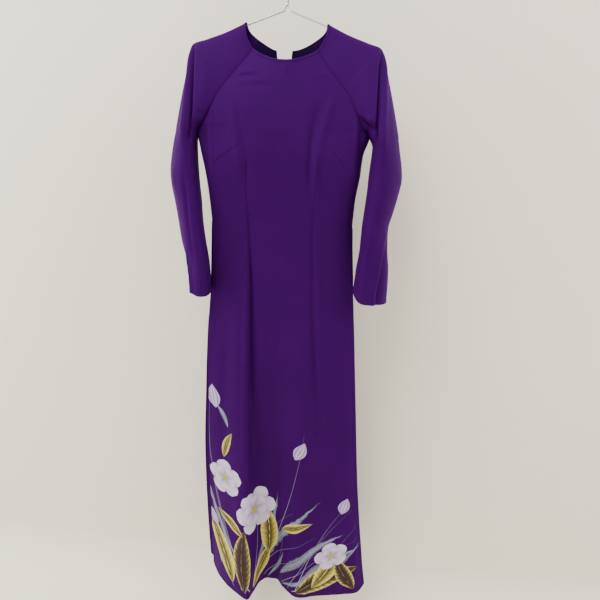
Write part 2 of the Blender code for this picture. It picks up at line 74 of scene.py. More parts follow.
# ---------------------------------------------------------------- sizes of the pattern, metres
NECK_POINT_Z = -0.131
NECK_POINT_X = 0.079
FRONT_SEAM_DROP = 0.048
BACK_SEAM_DROP = 0.0265
FRONT_NECK_SAG = 0.023        # how far the neckline's middle hangs below its seams
BACK_NECK_SAG = 0.0165
ARMPIT_DROP = 0.203
SLIT_DROP = 0.383
HEM_DROP = 1.350
HEM_CORNER_LIFT = 0.016
HEM_CORNER_DROP = 0.080
HEM_CORNER_SHARPNESS = 16     # how close to its corners the hem begins to rise
HEM_ROWS_CLOSER = 1.25        # how much closer a tail's rows stand near the hem
FLATTEN_DROP = 0.150          # below the slits, over which a tail loses the waist's roundness
WAVE_GROWTH = 1.4             # how late the hem's waves grow down a tail
NECK_CURVE_SHARE = 0.6        # of the yoke over which the neckline's curve dies out
NECK_CURVE_FADE = 1.5         # how fast it does
OPENING_HALF = 0.0162
OPENING_OFFSET = -0.006
OPENING_END_DROP = 0.142
FACING_SHARE = 0.3125         # of the yoke's rows that the back neck facing lies behind
FACING_INSET = 0.0004
FACING_EDGE_BACK = 0.6        # of a column that the facing's edge stands back from the seam
BINDING_OVER_EDGE = 0.0008    # how far the binding reaches up past the neckline
BINDING_INSET = 0.0003        # clear space between the binding and the cloth under it
BINDING_GIRTH = 2.2           # the binding's girth against its width
BUST_DROP = 0.255
BUST_X = 0.085
BUST_SPREAD = 0.045
BUST_FULLNESS = 0.006
BUST_SIDE_FADE = 8            # how close to the side seams the fullness still reaches
PAINTING_TOP = 0.700
SEAM_FADE = 0.008             # how near to a seam the folds die out
HEM_STEP = 0.2                # of the hem's width over which it falls back to the cloth
STITCH_WIDTH = 0.0014
STITCH_DEPTH = 0.6            # against the height of the turned hem
DART_WIDTH = 0.0011
SMOOTH_ANGLE = math.radians(50.0)

YOKE_ROWS = 64
BODY_ROWS = 52
TAIL_ROWS = 150
ARM_ROWS = 116
FRONT_COLUMNS = 156
BACK_COLUMNS = 78
SLEEVE_COLUMNS = 46
BINDING_CORNERS = 14

# ---------------------------------------------------------------- section tables
BODY = named_rows(
    "drop left right front_edge front back_edge back rounded front_corner back_corner",
    (BACK_SEAM_DROP, -0.0585, 0.0585, 0.010, 0.026, 0.009, 0.016, 0.10, 3.0, 3.0),
    (FRONT_SEAM_DROP, -0.0645, 0.0645, 0.013, 0.028, 0.012, 0.019, 0.12, 3.0, 3.0),
    (0.060, -0.0720, 0.0720, 0.016, 0.030, 0.014, 0.021, 0.15, 3.0, 3.0),
    (0.090, -0.0950, 0.0940, 0.026, 0.036, 0.020, 0.026, 0.25, 3.0, 3.0),
    (0.135, -0.1290, 0.1310, 0.037, 0.045, 0.027, 0.031, 0.45, 5.0, 4.0),
    (0.165, -0.1430, 0.1460, 0.041, 0.050, 0.029, 0.034, 0.62, 8.0, 6.0),
    (0.190, -0.1590, 0.1610, 0.035, 0.052, 0.025, 0.035, 0.80, 11.0, 9.0),
    (ARMPIT_DROP, -0.1765, 0.1765, 0.000, 0.053, 0.000, 0.035, 0.88, 13.0, 11.0),
    (0.240, -0.1700, 0.1660, 0.000, 0.053, 0.000, 0.035, 0.97, 12.0, 9.0),
    (0.280, -0.1617, 0.1630, 0.000, 0.050, 0.000, 0.033, 1.0, 11.0, 7.0),
    (0.330, -0.1548, 0.1565, 0.000, 0.042, 0.000, 0.028, 1.0, 9.0, 5.0),
    (SLIT_DROP, -0.1495, 0.1545, 0.000, 0.034, 0.000, 0.024, 1.0, 7.0, 4.0),
)
TAIL_COLUMNS = "drop left right edge middle"
FRONT_TAIL = named_rows(
    TAIL_COLUMNS,
    (SLIT_DROP, -0.1495, 0.1545, 0.000, 0.034),
    (0.450, -0.1500, 0.1590, 0.009, 0.030),
    (0.520, -0.1512, 0.1660, 0.012, 0.029),
    (0.640, -0.1590, 0.1780, 0.013, 0.029),
    (0.820, -0.1610, 0.1945, 0.013, 0.029),
    (0.990, -0.1640, 0.2105, 0.013, 0.030),
    (1.110, -0.1620, 0.2245, 0.013, 0.030),
    (1.220, -0.1600, 0.2390, 0.013, 0.030),
    (HEM_DROP, -0.1600, 0.2560, 0.013, 0.030),
)
BACK_TAIL = named_rows(
    TAIL_COLUMNS,
    (SLIT_DROP, -0.1495, 0.1545, 0.000, 0.024),
    (0.450, -0.1520, 0.1560, 0.012, 0.027),
    (0.520, -0.1570, 0.1610, 0.020, 0.030),
    (0.640, -0.1710, 0.1720, 0.024, 0.032),
    (0.820, -0.1800, 0.1880, 0.026, 0.034),
    (0.990, -0.1860, 0.2030, 0.028, 0.036),
    (1.110, -0.1850, 0.2160, 0.030, 0.038),
    (HEM_DROP, -0.1770, 0.2380, 0.032, 0.040),
)
HEM_COLUMNS = "share x y"
FRONT_HEM = named_rows(
    HEM_COLUMNS,
    (0.000, -0.160, 0.029),
    (0.090, -0.128, -0.007),
    (0.190, -0.087, -0.040),
    (0.277, -0.048, -0.062),
    (0.330, -0.037, -0.037),
    (0.390, -0.024, -0.002),
    (0.450, -0.004, 0.012),
    (0.490, 0.018, 0.011),
    (0.550, 0.041, -0.012),
    (0.650, 0.082, -0.039),
    (0.753, 0.135, -0.027),
    (0.865, 0.193, -0.016),
    (0.943, 0.233, -0.008),
    (1.000, 0.256, 0.012),
)
BACK_HEM = named_rows(
    HEM_COLUMNS,
    (0.000, -0.177, 0.058),
    (0.150, -0.120, 0.047),
    (0.330, -0.050, 0.068),
    (0.480, 0.008, 0.050),
    (0.660, 0.085, 0.067),
    (0.840, 0.168, 0.045),
    (1.000, 0.238, 0.056),
)
RIBS = named_rows(
    "share front_drop back_drop left_ridge right_ridge ridge_drop front_depth back_depth bow turn",
    (0.00, FRONT_SEAM_DROP, BACK_SEAM_DROP, NECK_POINT_X, NECK_POINT_X, 0.0, 0.013, 0.009, 0.006, 0.0),
    (0.20, 0.0740, 0.0640, 0.1180, 0.1180, 0.0172, 0.020, 0.016, 0.002, 0.0),
    (0.40, 0.1020, 0.0980, 0.1600, 0.1600, 0.0320, 0.029, 0.023, 0.000, 0.1),
    (0.52, 0.1200, 0.1180, 0.1868, 0.1850, 0.0405, 0.034, 0.028, 0.000, 0.4),
    (0.60, 0.1330, 0.1320, 0.1930, 0.1930, 0.0530, 0.038, 0.033, 0.000, 0.6),
    (0.72, 0.1540, 0.1540, 0.1995, 0.2015, 0.0840, 0.044, 0.040, 0.000, 0.8),
    (0.86, 0.1800, 0.1800, 0.2115, 0.2160, 0.1320, 0.052, 0.049, 0.000, 1.0),
    (1.00, ARMPIT_DROP, ARMPIT_DROP, 0.2260, 0.2345, 0.2000, 0.058, 0.056, 0.000, 1.0),
)
RING_COLUMNS = "drop outer inner"
LEFT_ARM = named_rows(
    RING_COLUMNS,
    (ARMPIT_DROP, 0.2260, 0.1765),
    (0.223, 0.2308, 0.1815),
    (0.263, 0.2375, 0.1805),
    (0.284, 0.2395, 0.1791),
    (0.305, 0.2382, 0.1774),
    (0.347, 0.2298, 0.1720),
    (0.390, 0.2216, 0.1682),
    (0.434, 0.2133, 0.1613),
    (0.478, 0.2022, 0.1530),
    (0.510, 0.1985, 0.1505),
    (0.545, 0.1980, 0.1500),
)
RIGHT_ARM = named_rows(
    RING_COLUMNS,
    (ARMPIT_DROP, 0.2345, 0.1765),
    (0.223, 0.2384, 0.1860),
    (0.263, 0.2464, 0.1838),
    (0.284, 0.2484, 0.1827),
    (0.305, 0.2460, 0.1822),
    (0.347, 0.2375, 0.1793),
    (0.388, 0.2290, 0.1765),
    (0.430, 0.2310, 0.1755),
    (0.474, 0.2370, 0.1706),
    (0.508, 0.2382, 0.1685),
    (0.540, 0.2380, 0.1675),
)
# How far each arm's front is turned inward, and its back outward, for each metre of its depth.
SLEEVE_TURN = {LEFT: 0.30, RIGHT: 0.18}
# How far each cuff's outer and inner corner is drawn up, and how far up the arm that is felt.
CUFF_LIFT = {LEFT: (0.017, 0.006), RIGHT: (-0.002, 0.024)}
CUFF_LIFT_REACH = 0.055
CUFF_LIFT_FADE = 1.5
CUFF_CORNER_FADE = 3
ARM_DEPTH = named_rows(
    "drop middle front back",
    (ARMPIT_DROP, 0.000, 0.058, 0.056),
    (0.284, -0.003, 0.057, 0.054),
    (0.368, -0.009, 0.050, 0.048),
    (0.434, -0.014, 0.046, 0.044),
    (0.545, -0.020, 0.042, 0.040),
)

# ---------------------------------------------------------------- folds, placed one by one
def fold(shape, *path):
    """A fold along a path of (x, drop, half width, height) in millimetres.

    A trough has a negative height.  A "tuck" stands up on the left of its path, seen going down, and
    sinks on the right.
    """
    return shape, np.array(path) / 1000.0


FRONT_FOLDS = (
    # waist darts and the folds that hang from them
    fold("trough", (-66, 235, 5, 0), (-68, 285, 4, -1), (-66, 340, 4, -1.2), (-64, 412, 5, -1.6),
         (-58, 521, 7, -3.4), (-55, 640, 10, -5.4), (-50, 790, 13, -6.8), (-42, 930, 15, -5.8),
         (-33, 1080, 18, -3.4), (-20, 1220, 20, 0)),
    fold("tuck", (-67.5, 330, 4, 0), (-66, 400, 4, -1), (-63, 480, 4.5, -2), (-60.5, 560, 5, -3),
         (-59, 680, 6, -3.6), (-56, 800, 8, -3.4), (-50, 930, 10, -2.4), (-40, 1080, 13, 0)),
    fold("trough", (78, 240, 5, 0), (73.5, 321, 4, -1), (71.6, 405, 4, -1.4), (77, 512, 5, -2.4),
         (86, 635, 6, -3.4), (96, 740, 8, -3.2), (110, 870, 11, -2.2), (128, 1040, 15, 0)),
    fold("ridge", (86, 440, 6, 0), (93, 540, 8, 1.2), (103, 660, 9, 1.6), (114, 780, 11, 1.2),
         (128, 900, 13, 0)),
    fold("ridge", (-88, 430, 12, 0), (-85, 560, 14, 1.2), (-84, 760, 18, 2.2), (-80, 980, 22, 1.6),
         (-75, 1150, 24, 0)),
    fold("ridge", (-30, 520, 14, 0), (-26, 680, 16, 1.8), (-18, 860, 20, 2.2), (-4, 1060, 22, 0)),
    fold("ridge", (104, 500, 12, 0), (112, 640, 14, 1.2), (128, 840, 18, 1.6), (146, 1030, 20, 0)),
    # cloth hanging from the bust
    fold("ridge", (104, 120, 9, 0), (94, 160, 8, 2.2), (82, 205, 7, 3.2), (75.5, 262, 6, 3.2),
         (76.5, 310, 6, 1.8), (78, 360, 6, 0)),
    fold("trough", (78, 140, 9, 0), (68, 175, 8, -1.8), (61.7, 215, 7, -3), (60.8, 272, 6, -3),
         (66, 325, 6, -1), (68, 360, 6, 0)),
    fold("trough", (-90, 140, 9, 0), (-82, 185, 8, -1.6), (-73, 235, 7, -2.6), (-64.5, 268, 6, -2.2),
         (-66, 310, 6, 0)),
    fold("ridge", (-98, 150, 10, 0), (-92, 200, 9, 1.2), (-82, 250, 8, 1.2), (-78, 300, 8, 0)),
    # the sides turning back from the light
    fold("ridge", (-132, 140, 4, 0), (-139, 170, 4, 1.6), (-141, 200, 4, 2.2), (-138, 250, 5, 1.4),
         (-136, 310, 6, 0)),
    fold("trough", (-151, 190, 5, 0), (-154, 215, 6, -3.4), (-151, 250, 6, -2.4), (-147, 300, 6, 0)),
    fold("ridge", (140, 135, 4, 0), (145, 165, 4, 1.6), (147.5, 200, 4, 2.2), (148, 250, 5, 1.2),
         (148, 310, 6, 0)),
    fold("trough", (155, 185, 5, 0), (158, 208, 5, -3), (156, 245, 5, -2), (154, 290, 5, 0)),
    # short creases under the neckline, at the bust darts and across the waist
    fold("tuck", (-93, 101, 4, 0), (-78, 97.5, 3.5, 1), (-60, 96.5, 3.5, 0.9), (-46, 98, 4, 0)),
    fold("tuck", (-98, 121, 5, 0), (-70, 115.5, 5, 0.5), (-40, 114, 5, 0.5), (-10, 116, 5, 0)),
    fold("tuck", (98, 103, 5, 0), (78, 99, 5, -0.5), (56, 101, 5, 0)),
    fold("tuck", (-140, 272, 3.5, 0), (-124, 259, 2.5, 0.4), (-104, 245, 2.5, 0.4), (-76, 226, 3.5, 0)),
    fold("tuck", (140, 274, 3.5, 0), (122, 255, 2.5, -0.4), (108, 241, 2.5, -0.35), (90, 224, 3.5, 0)),
    fold("ridge", (3, 74, 9, 0), (3, 80, 7, 0.7), (4, 92, 4, 0.7), (4, 108, 3, 0)),
    fold("tuck", (10, 410, 5, 0), (40, 403.5, 4, 0.35), (68, 402, 5, 0)),
    # soft waves of the hanging tail
    fold("trough", (-112, 520, 12, 0), (-116, 700, 14, -1.2), (-120, 900, 16, -1.8), (-126, 1080, 18, 0)),
    fold("ridge", (160, 600, 8, 0), (167, 760, 9, 1.3), (178, 880, 10, 1.3), (196, 1060, 12, 0)),
    fold("trough", (150, 620, 10, 0), (158, 820, 12, -1), (172, 1000, 14, 0)),
    fold("trough", (20, 600, 16, 0), (30, 800, 18, -1.2), (42, 1000, 20, -1.2), (52, 1150, 20, 0)),
    fold("ridge", (58, 620, 12, 0), (66, 800, 14, 1), (78, 1000, 16, 0)),
)
LEFT_SLEEVE_FOLDS = (
    # the crease from the hanger's corner down to the armpit, and the cloth standing out beside it
    fold("trough", (-183, 36, 3, 0), (-181.5, 52, 3, -3), (-180.5, 85, 3, -5), (-179.5, 120, 3.2, -6),
         (-178.5, 165, 3.4, -7), (-178.5, 205, 4, -7), (-184, 240, 5, 0)),
    fold("ridge", (-190, 45, 4, 0), (-189.5, 80, 5, 2.6), (-189, 130, 6, 3.6), (-191.5, 190, 7, 3.6),
         (-197, 250, 8, 0)),
    fold("trough", (-150, 195, 4, 0), (-160, 200, 4, -4), (-172, 204, 4, -5), (-181, 206, 4, 0)),
    fold("tuck", (-152, 176, 5, 0), (-164, 168, 5, -1.2), (-175, 150, 5, 0)),
    fold("trough", (-196, 275, 6, 0), (-190, 320, 5, -2.6), (-186, 380, 5, -2.6), (-178, 440, 6, -1.6),
         (-172, 500, 6, 0)),
    fold("tuck", (-199, 430, 3, 0), (-194.5, 475.7, 3, 3), (-188.4, 504.2, 3, 4), (-183.4, 550, 3, 4)),
    fold("ridge", (-214, 262, 7, 0), (-218, 300, 8, 2), (-210, 350, 8, 0)),
)
RIGHT_SLEEVE_FOLDS = (
    fold("trough", (188, 36, 3, 0), (186.5, 52, 3, -3), (186.2, 85, 3, -5), (186.6, 120, 3.2, -6),
         (187, 165, 3.4, -7), (186.5, 200, 4, -7), (190, 240, 5, 0)),
    fold("ridge", (195, 45, 4, 0), (195, 80, 5, 2.6), (196, 130, 6, 3.6), (198, 190, 7, 3.6),
         (204, 260, 8, 0)),
    fold("trough", (152, 168, 3.5, 0), (161, 179, 4, -6), (170, 187, 4.5, -7.5), (182, 193, 4, -5),
         (188, 196, 4, 0)),
    fold("ridge", (162, 170, 5, 0), (172, 176, 5, 2.2), (182, 180, 5, 0)),
    fold("trough", (206, 290, 6, 0), (203, 340, 5, -2.4), (198, 400, 6, 0)),
    fold("tuck", (230, 380, 5, 0), (222.5, 410, 5, -2), (218.2, 440.8, 5, -3), (214.4, 479.5, 5, -3.2),
         (210.9, 512.4, 5, -3), (209.8, 546, 5, -2.6)),
    fold("trough", (196, 400, 6, 0), (193, 450, 6, -2), (190, 520, 6, 0)),
)
# The hidden back: the same kinds of fold, none of them mirrored from the front.
BACK_FOLDS = (
    fold("trough", (-66, 230, 7, 0), (-62, 310, 7, -1.4), (-60, 400, 8, -2), (-64, 560, 12, -3.4),
         (-72, 760, 15, -4.2), (-80, 1000, 18, -2.6), (-88, 1180, 20, 0)),
    fold("trough", (58, 215, 7, 0), (62, 300, 7, -1.2), (64, 390, 8, -1.8), (74, 540, 12, -3),
         (86, 740, 15, -3.6), (98, 960, 18, -2.4), (112, 1160, 20, 0)),
    fold("ridge", (-110, 500, 12, 0), (-122, 700, 16, 2.4), (-132, 920, 18, 2), (-140, 1120, 20, 0)),
    fold("ridge", (116, 480, 12, 0), (130, 680, 16, 2), (146, 900, 18, 2.2), (160, 1100, 20, 0)),
    fold("ridge", (-24, 480, 12, 0), (-30, 700, 16, 1.8), (-36, 940, 18, 0)),
    fold("ridge", (30, 520, 12, 0), (40, 760, 16, 2), (50, 1020, 20, 0)),
    fold("trough", (-112, 110, 8, 0), (-104, 150, 8, -1.4), (-96, 200, 8, -1.2), (-88, 250, 8, 0)),
    fold("trough", (118, 115, 8, 0), (106, 160, 8, -1.6), (92, 215, 8, 0)),
    fold("tuck", (-74, 395, 6, 0), (-40, 384, 5, 0.8), (-6, 380, 5, 0)),
    fold("tuck", (12, 372, 5, 0), (44, 380, 5, 0.8), (86, 398, 6, 0)),
    fold("tuck", (-136, 215, 6, 0), (-112, 232, 5, 1), (-86, 240, 6, 0)),
)
BACK_SLEEVE_FOLDS = (
    fold("trough", (-187, 50, 5, 0), (-183, 90, 6, -2.6), (-182, 150, 6, -3.6), (-184, 215, 7, 0)),
    fold("trough", (190, 48, 5, 0), (189, 100, 6, -2.8), (190, 160, 6, -3.2), (194, 225, 7, 0)),
    fold("trough", (-214, 280, 7, 0), (-202, 300, 6, -2), (-190, 330, 7, 0)),
    fold("trough", (232, 285, 7, 0), (216, 300, 6, -2.2), (200, 325, 7, 0)),
    fold("trough", (-196, 400, 6, 0), (-188, 450, 6, -1.6), (-182, 520, 6, 0)),
    fold("trough", (214, 410, 6, 0), (210, 460, 6, -1.8), (206, 520, 6, 0)),
)
# Stitched darts on the front: places (x, drop) in millimetres that straight runs join.
DARTS = (
    ((-134.8, 266.7), (-111.9, 250.1), (-81.1, 229.6)),
    ((128.6, 261.7), (107.2, 239.6)),
    ((-68.4, 258.1), (-67.6, 317.4), (-64.2, 412.2), (-59.3, 520.8)),
    ((78.0, 254.1), (73.5, 321.0), (71.6, 404.8), (77.0, 512.2)),
)
# Faint upright waves of hanging cloth: how fast each turns along x, y and the drop, where it starts,
# and its share.
WAVES = named_rows(
    "x y drop start share",
    (71.0, 9.0, 6.0, 0.8, 1.0),
    (127.0, 0.0, -9.0, 2.1, 0.7),
    (31.0, -17.0, 46.0, 0.0, 0.5),
    (211.0, 0.0, 23.0, 0.0, 0.4),
)
WAVES_ON_SHOULDERS = 0.35
WAVES_FULL_FROM = 0.10
WAVES_FULL_WITHIN = 0.5


# ---------------------------------------------------------------- the hem's painting
# A generic spray of rounded flowers, pointed leaves and grass, in the flat cloth's metres: across from
# the centre line, drop, degrees from the cloth's width, then sizes.
PAINT_EDGE = 0.0016           # over which a painted form's edge goes soft
FINE_PAINT_EDGE = 0.0009
HEART_EDGE = 0.0014
HEART_REACH = 0.20            # of the flower's size
LEAF_FULLNESS, BUD_FULLNESS, LEAF_TAPER = 3.4, 4.6, 1.6
LEAF_WOBBLE, BLADE_WOBBLE = 0.28, 0.5
LEAF_VEINS, VEIN_SLANT = 70.0, 9.0
BRISTLES = 0.006              # the brush marks' width
PETAL_RINGS = ((1.0, 0.0), (0.62, 0.5))     # how far each ring reaches, and its turn in half petals
PETAL_LINES = 61.0
# Each kind of leaf's colours from its middle to its rim: place, colour and how much lighter it is.
PALETTES = {
    "slate": ((0.0, "slate", 1.7), (0.35, "slate", 1.0), (1.0, "slate", 0.4)),
    "gold": ((0.0, "gold", 1.0), (0.07, "umber", 1.0), (0.35, "olive", 1.0), (0.78, "gold", 1.0),
             (1.0, "gold", 1.2)),
    "umber": ((0.0, "olive", 1.0), (0.06, "umber", 1.0), (0.50, "umber", 1.6), (0.74, "olive", 1.0),
              (0.90, "gold", 1.0)),
    "bud": ((0.0, "petal_shade", 1.0), (0.25, "petal", 1.0), (0.60, "petal_shade", 1.0),
            (0.85, "petal", 1.0), (1.0, "petal_shade", 1.0)),
}
STALKS = named_rows(
    "across drop turn length width bend",
    (-0.118, 1.335, 97, 0.52, 0.0016, 0.30),
    (-0.105, 1.335, 104, 0.36, 0.0017, 0.22),
    (-0.090, 1.335, 82, 0.24, 0.0016, -0.20),
    (-0.130, 1.330, 118, 0.21, 0.0015, -0.26),
    (-0.070, 1.335, 73, 0.48, 0.0014, -0.24),
    (0.060, 1.340, 52, 0.16, 0.0015, -0.25),
    (0.070, 1.335, 66, 0.27, 0.0013, 0.22),
    (-0.080, 1.330, 60, 0.27, 0.0011, 0.30),
    (-0.060, 1.335, 44, 0.24, 0.0011, 0.32),
    (-0.040, 1.335, 33, 0.22, 0.0010, 0.30),
    (0.020, 1.340, 38, 0.26, 0.0010, 0.28),
    (0.045, 1.340, 58, 0.30, 0.0010, 0.20),
    (0.090, 1.340, 45, 0.20, 0.0010, 0.30),
    (-0.160, 1.335, 128, 0.13, 0.0010, -0.30),
    (-0.020, 1.335, 78, 0.20, 0.0010, -0.30),
    (0.120, 1.340, 62, 0.25, 0.0010, 0.30),
)
LEAVES = named_rows(
    "across drop turn length width bend kind",
    # grey brush leaves and grass blades, behind
    (-0.045, 1.310, 56, 0.300, 0.034, 0.26, "slate"),
    (0.010, 1.320, 42, 0.240, 0.038, 0.30, "slate"),
    (0.060, 1.325, 34, 0.215, 0.030, 0.34, "slate"),
    (-0.075, 1.300, 72, 0.260, 0.022, -0.22, "slate"),
    (-0.140, 1.240, 112, 0.215, 0.030, 0.30, "slate"),
    (-0.170, 1.290, 100, 0.170, 0.024, -0.30, "slate"),
    (0.020, 1.345, 22, 0.180, 0.022, 0.30, "slate"),
    (-0.030, 1.345, 64, 0.130, 0.018, -0.24, "slate"),
    (0.150, 1.330, 58, 0.165, 0.022, 0.26, "slate"),
    (-0.205, 1.300, 84, 0.120, 0.018, 0.24, "slate"),
    # broad gold and olive leaves
    (-0.160, 1.325, 116, 0.200, 0.100, -0.20, "gold"),
    (-0.122, 1.335, 84, 0.190, 0.086, 0.22, "umber"),
    (-0.088, 1.340, 58, 0.130, 0.064, -0.22, "gold"),
    (-0.108, 1.170, 152, 0.100, 0.046, -0.24, "gold"),
    (-0.026, 1.260, 92, 0.165, 0.076, -0.18, "gold"),
    (0.070, 1.338, 24, 0.180, 0.094, 0.24, "umber"),
    (0.112, 1.325, 62, 0.150, 0.074, -0.22, "gold"),
    (0.228, 1.335, 118, 0.125, 0.064, 0.22, "umber"),
    (-0.150, 0.965, 66, 0.085, 0.036, 0.22, "gold"),
    (-0.130, 0.880, 118, 0.065, 0.024, -0.22, "slate"),
    (0.020, 1.165, 24, 0.095, 0.040, 0.24, "gold"),
    # buds
    (-0.162, 0.835, 98, 0.062, 0.040, 0.10, "bud"),
    (0.052, 0.945, 66, 0.052, 0.034, -0.10, "bud"),
    (0.176, 1.100, 74, 0.048, 0.032, 0.10, "bud"),
    (-0.205, 1.185, 112, 0.050, 0.034, 0.10, "bud"),
)
FLOWERS = named_rows(
    "across drop turn size squash petals",
    (-0.150, 1.020, 20, 0.056, 0.86, 5),
    (-0.062, 1.105, 64, 0.064, 0.92, 6),
    (0.158, 1.225, 40, 0.047, 0.80, 5),
)


# ---------------------------------------------------------------- what a user would change
def length(name, description, default):
    return bpy.props.FloatProperty(name=name, description=description, default=default,
                                   unit="LENGTH", subtype="DISTANCE", precision=5, min=0.0)


def colour(name, description, default):
    return bpy.props.FloatVectorProperty(name=name, description=description, default=default,
                                         subtype="COLOR", size=3, min=0.0, max=1.0)


class TunicSizes(bpy.types.PropertyGroup):
    """Sizes of the cloth, its seams and hems."""
    cloth: length("Cloth", "Thickness of the crepe, with its lining", 0.0012)
    facing: length("Facing", "Thickness of the satin facing inside the back neck", 0.0009)
    seam_gap: length("Seam gap", "Clear space between two panels along a seam", 0.0006)
    seam_dip: length("Seam dip", "How far the cloth dips towards a seam", 0.0009)
    seam_reach: length("Seam reach", "How far from a seam the dip is felt", 0.0022)
    hem_width: length("Hem width", "Width of the turned hems", 0.0085)
    hem_lift: length("Hem lift", "How much a turned hem stands out", 0.0005)
    binding_width: length("Binding width", "Width of the neck binding", 0.0062)
    binding_height: length("Binding height", "How far the neck binding stands out", 0.0019)
    ripple: length("Ripple", "Height of the cloth's faint unevenness", 0.0003)
    weave: length("Weave", "Pitch of the crepe's threads", 0.0007)
    fold_strength: bpy.props.FloatProperty(
        name="Fold strength", description="Scales the height of every fold", default=1.5, min=0.0)


class TunicColours(bpy.types.PropertyGroup):
    """Colours of the cloth, the painting, the wire and the studio."""
    crepe: colour("Crepe", "The purple crepe", (0.0350, 0.0001, 0.0825))
    crepe_deep: colour("Crepe, deep", "The crepe's darker patches", (0.0305, 0.00005, 0.0710))
    crepe_sheen: colour("Crepe sheen", "Tint of the crepe's sheen", (0.55, 0.01, 0.85))
    facing: colour("Facing", "The dark satin inside the neck", (0.0065, 0.0005, 0.021))
    steel: colour("Steel", "The hanger's wire", (0.66, 0.66, 0.65))
    wall: colour("Wall", "The backdrop and floor", (0.94, 0.89, 0.77))
    petal: colour("Petals", "The painted petals' light parts", (0.60, 0.52, 0.68))
    petal_shade: colour("Petal shade", "The painted petals' shaded parts", (0.20, 0.10, 0.34))
    heart: colour("Flower hearts", "The painted flowers' middles", (0.52, 0.55, 0.13))
    gold: colour("Leaf gold", "The gold rims of the painted leaves", (0.60, 0.50, 0.13))
    olive: colour("Leaf olive", "The painted leaves' green", (0.17, 0.16, 0.030))
    umber: colour("Leaf umber", "The painted leaves' dark insides", (0.035, 0.020, 0.022))
    slate: colour("Slate", "The painted grey-green brush leaves", (0.24, 0.28, 0.36))
    stalk: colour("Stalks", "The painted thin pale stalks", (0.40, 0.38, 0.50))


# ---------------------------------------------------------------- reading the tables
def read(table, column, at):
    """The column's values at `at` along the table's first column: monotone cubic, no overshoot."""
    knots = np.array([row[0] for row in table], dtype=float)
    values = np.array([getattr(row, column) for row in table], dtype=float)
    at = np.clip(np.asarray(at, dtype=float), knots[0], knots[-1])
    slopes = np.diff(values) / np.diff(knots)
    before, after = slopes[:-1], slopes[1:]
    together = before * after > 0.0
    total = np.where(together, before + after, 1.0)
    inner = np.where(together, 2.0 * before * after / total, 0.0)
    tangents = np.concatenate(([slopes[0]], inner, [slopes[-1]]))
    span = np.clip(np.searchsorted(knots, at, side="right") - 1, 0, len(knots) - 2)
    step = knots[span + 1] - knots[span]
    t = (at - knots[span]) / step
    rise = values[span + 1] - values[span]
    start = step * tangents[span]
    end = step * tangents[span + 1]
    cubic = start + end - 2.0 * rise
    square = 3.0 * rise - 2.0 * start - end
    return values[span] + t * (start + t * (square + t * cubic))


def blend(a, b, share):
    return a + (b - a) * share


def eased(share):
    share = np.clip(share, 0.0, 1.0)
    return share * share * (3.0 - 2.0 * share)


def arch(side, rounded, corner):
    """1 at the middle (side 0) and 0 at the edges; a large corner stays flat until near them."""
    shallow = 1.0 - side * side
    full = np.sqrt(np.maximum(1.0 - np.abs(side) ** corner, 0.0))
    return blend(shallow, full, rounded)


def shares(count):
    """count + 1 places from 0 to 1, closer together at both ends."""
    even = np.linspace(0.0, 1.0, count + 1)
    return 0.5 * even + 0.25 * (1.0 - np.cos(math.pi * even))


def levels(seam_start):
    """The drop of each row at its seam or side edge: yoke, body, then tail, closer at the hem."""
    yoke = read(RIBS, seam_start, np.linspace(0.0, 1.0, YOKE_ROWS + 1))
    body = np.linspace(ARMPIT_DROP, SLIT_DROP, BODY_ROWS + 1)[1:]
    tail = 1.0 - np.linspace(1.0, 0.0, TAIL_ROWS + 1)[1:] ** HEM_ROWS_CLOSER
    return np.concatenate((yoke, body, blend(SLIT_DROP, HEM_DROP, tail)))[:, None]


def place(x, y, drop):
    x, y, drop = np.broadcast_arrays(x, y, drop)
    return np.stack((x, y, NECK_POINT_Z - drop), axis=-1)


# ---------------------------------------------------------------- the cloth's form
def neck_sag(rows, amount):
    share = np.arange(rows)[:, None] / YOKE_ROWS
    return amount * np.maximum(1.0 - share / NECK_CURVE_SHARE, 0.0) ** NECK_CURVE_FADE


def body_form(edge_drop, drop, share, edge, middle):
    left = read(BODY, "left", edge_drop)
    right = read(BODY, "right", edge_drop)
    corner = read(BODY, middle + "_corner", edge_drop)
    rise = arch(2.0 * share - 1.0, read(BODY, "rounded", edge_drop), corner)
    depth = blend(read(BODY, edge, edge_drop), read(BODY, middle, drop), rise)
    return blend(left, right, share), depth


def tail_form(tail, hem, facing, drop, share):
    wave = ((drop - SLIT_DROP) / (HEM_DROP - SLIT_DROP)) ** WAVE_GROWTH
    hem_x = read(hem, "x", share)
    hem_share = (hem_x - hem[0].x) / (hem[-1].x - hem[0].x)
    across = blend(share, hem_share, wave)
    x = blend(read(tail, "left", drop), read(tail, "right", drop), across)
    rounded = np.maximum(1.0 - (drop - SLIT_DROP) / FLATTEN_DROP, 0.0)
    corner = BODY[-1].front_corner if facing < 0.0 else BODY[-1].back_corner
    rise = arch(2.0 * share - 1.0, rounded, corner)
    depth = blend(read(tail, "edge", drop), read(tail, "middle", drop), rise)
    y = blend(facing * depth, read(hem, "y", share), wave)
    near_hem = np.maximum(1.0 - (HEM_DROP - drop) / HEM_CORNER_DROP, 0.0)
    corner_rise = np.abs(2.0 * share - 1.0) ** HEM_CORNER_SHARPNESS
    return place(x, y, drop - HEM_CORNER_LIFT * corner_rise * near_hem)


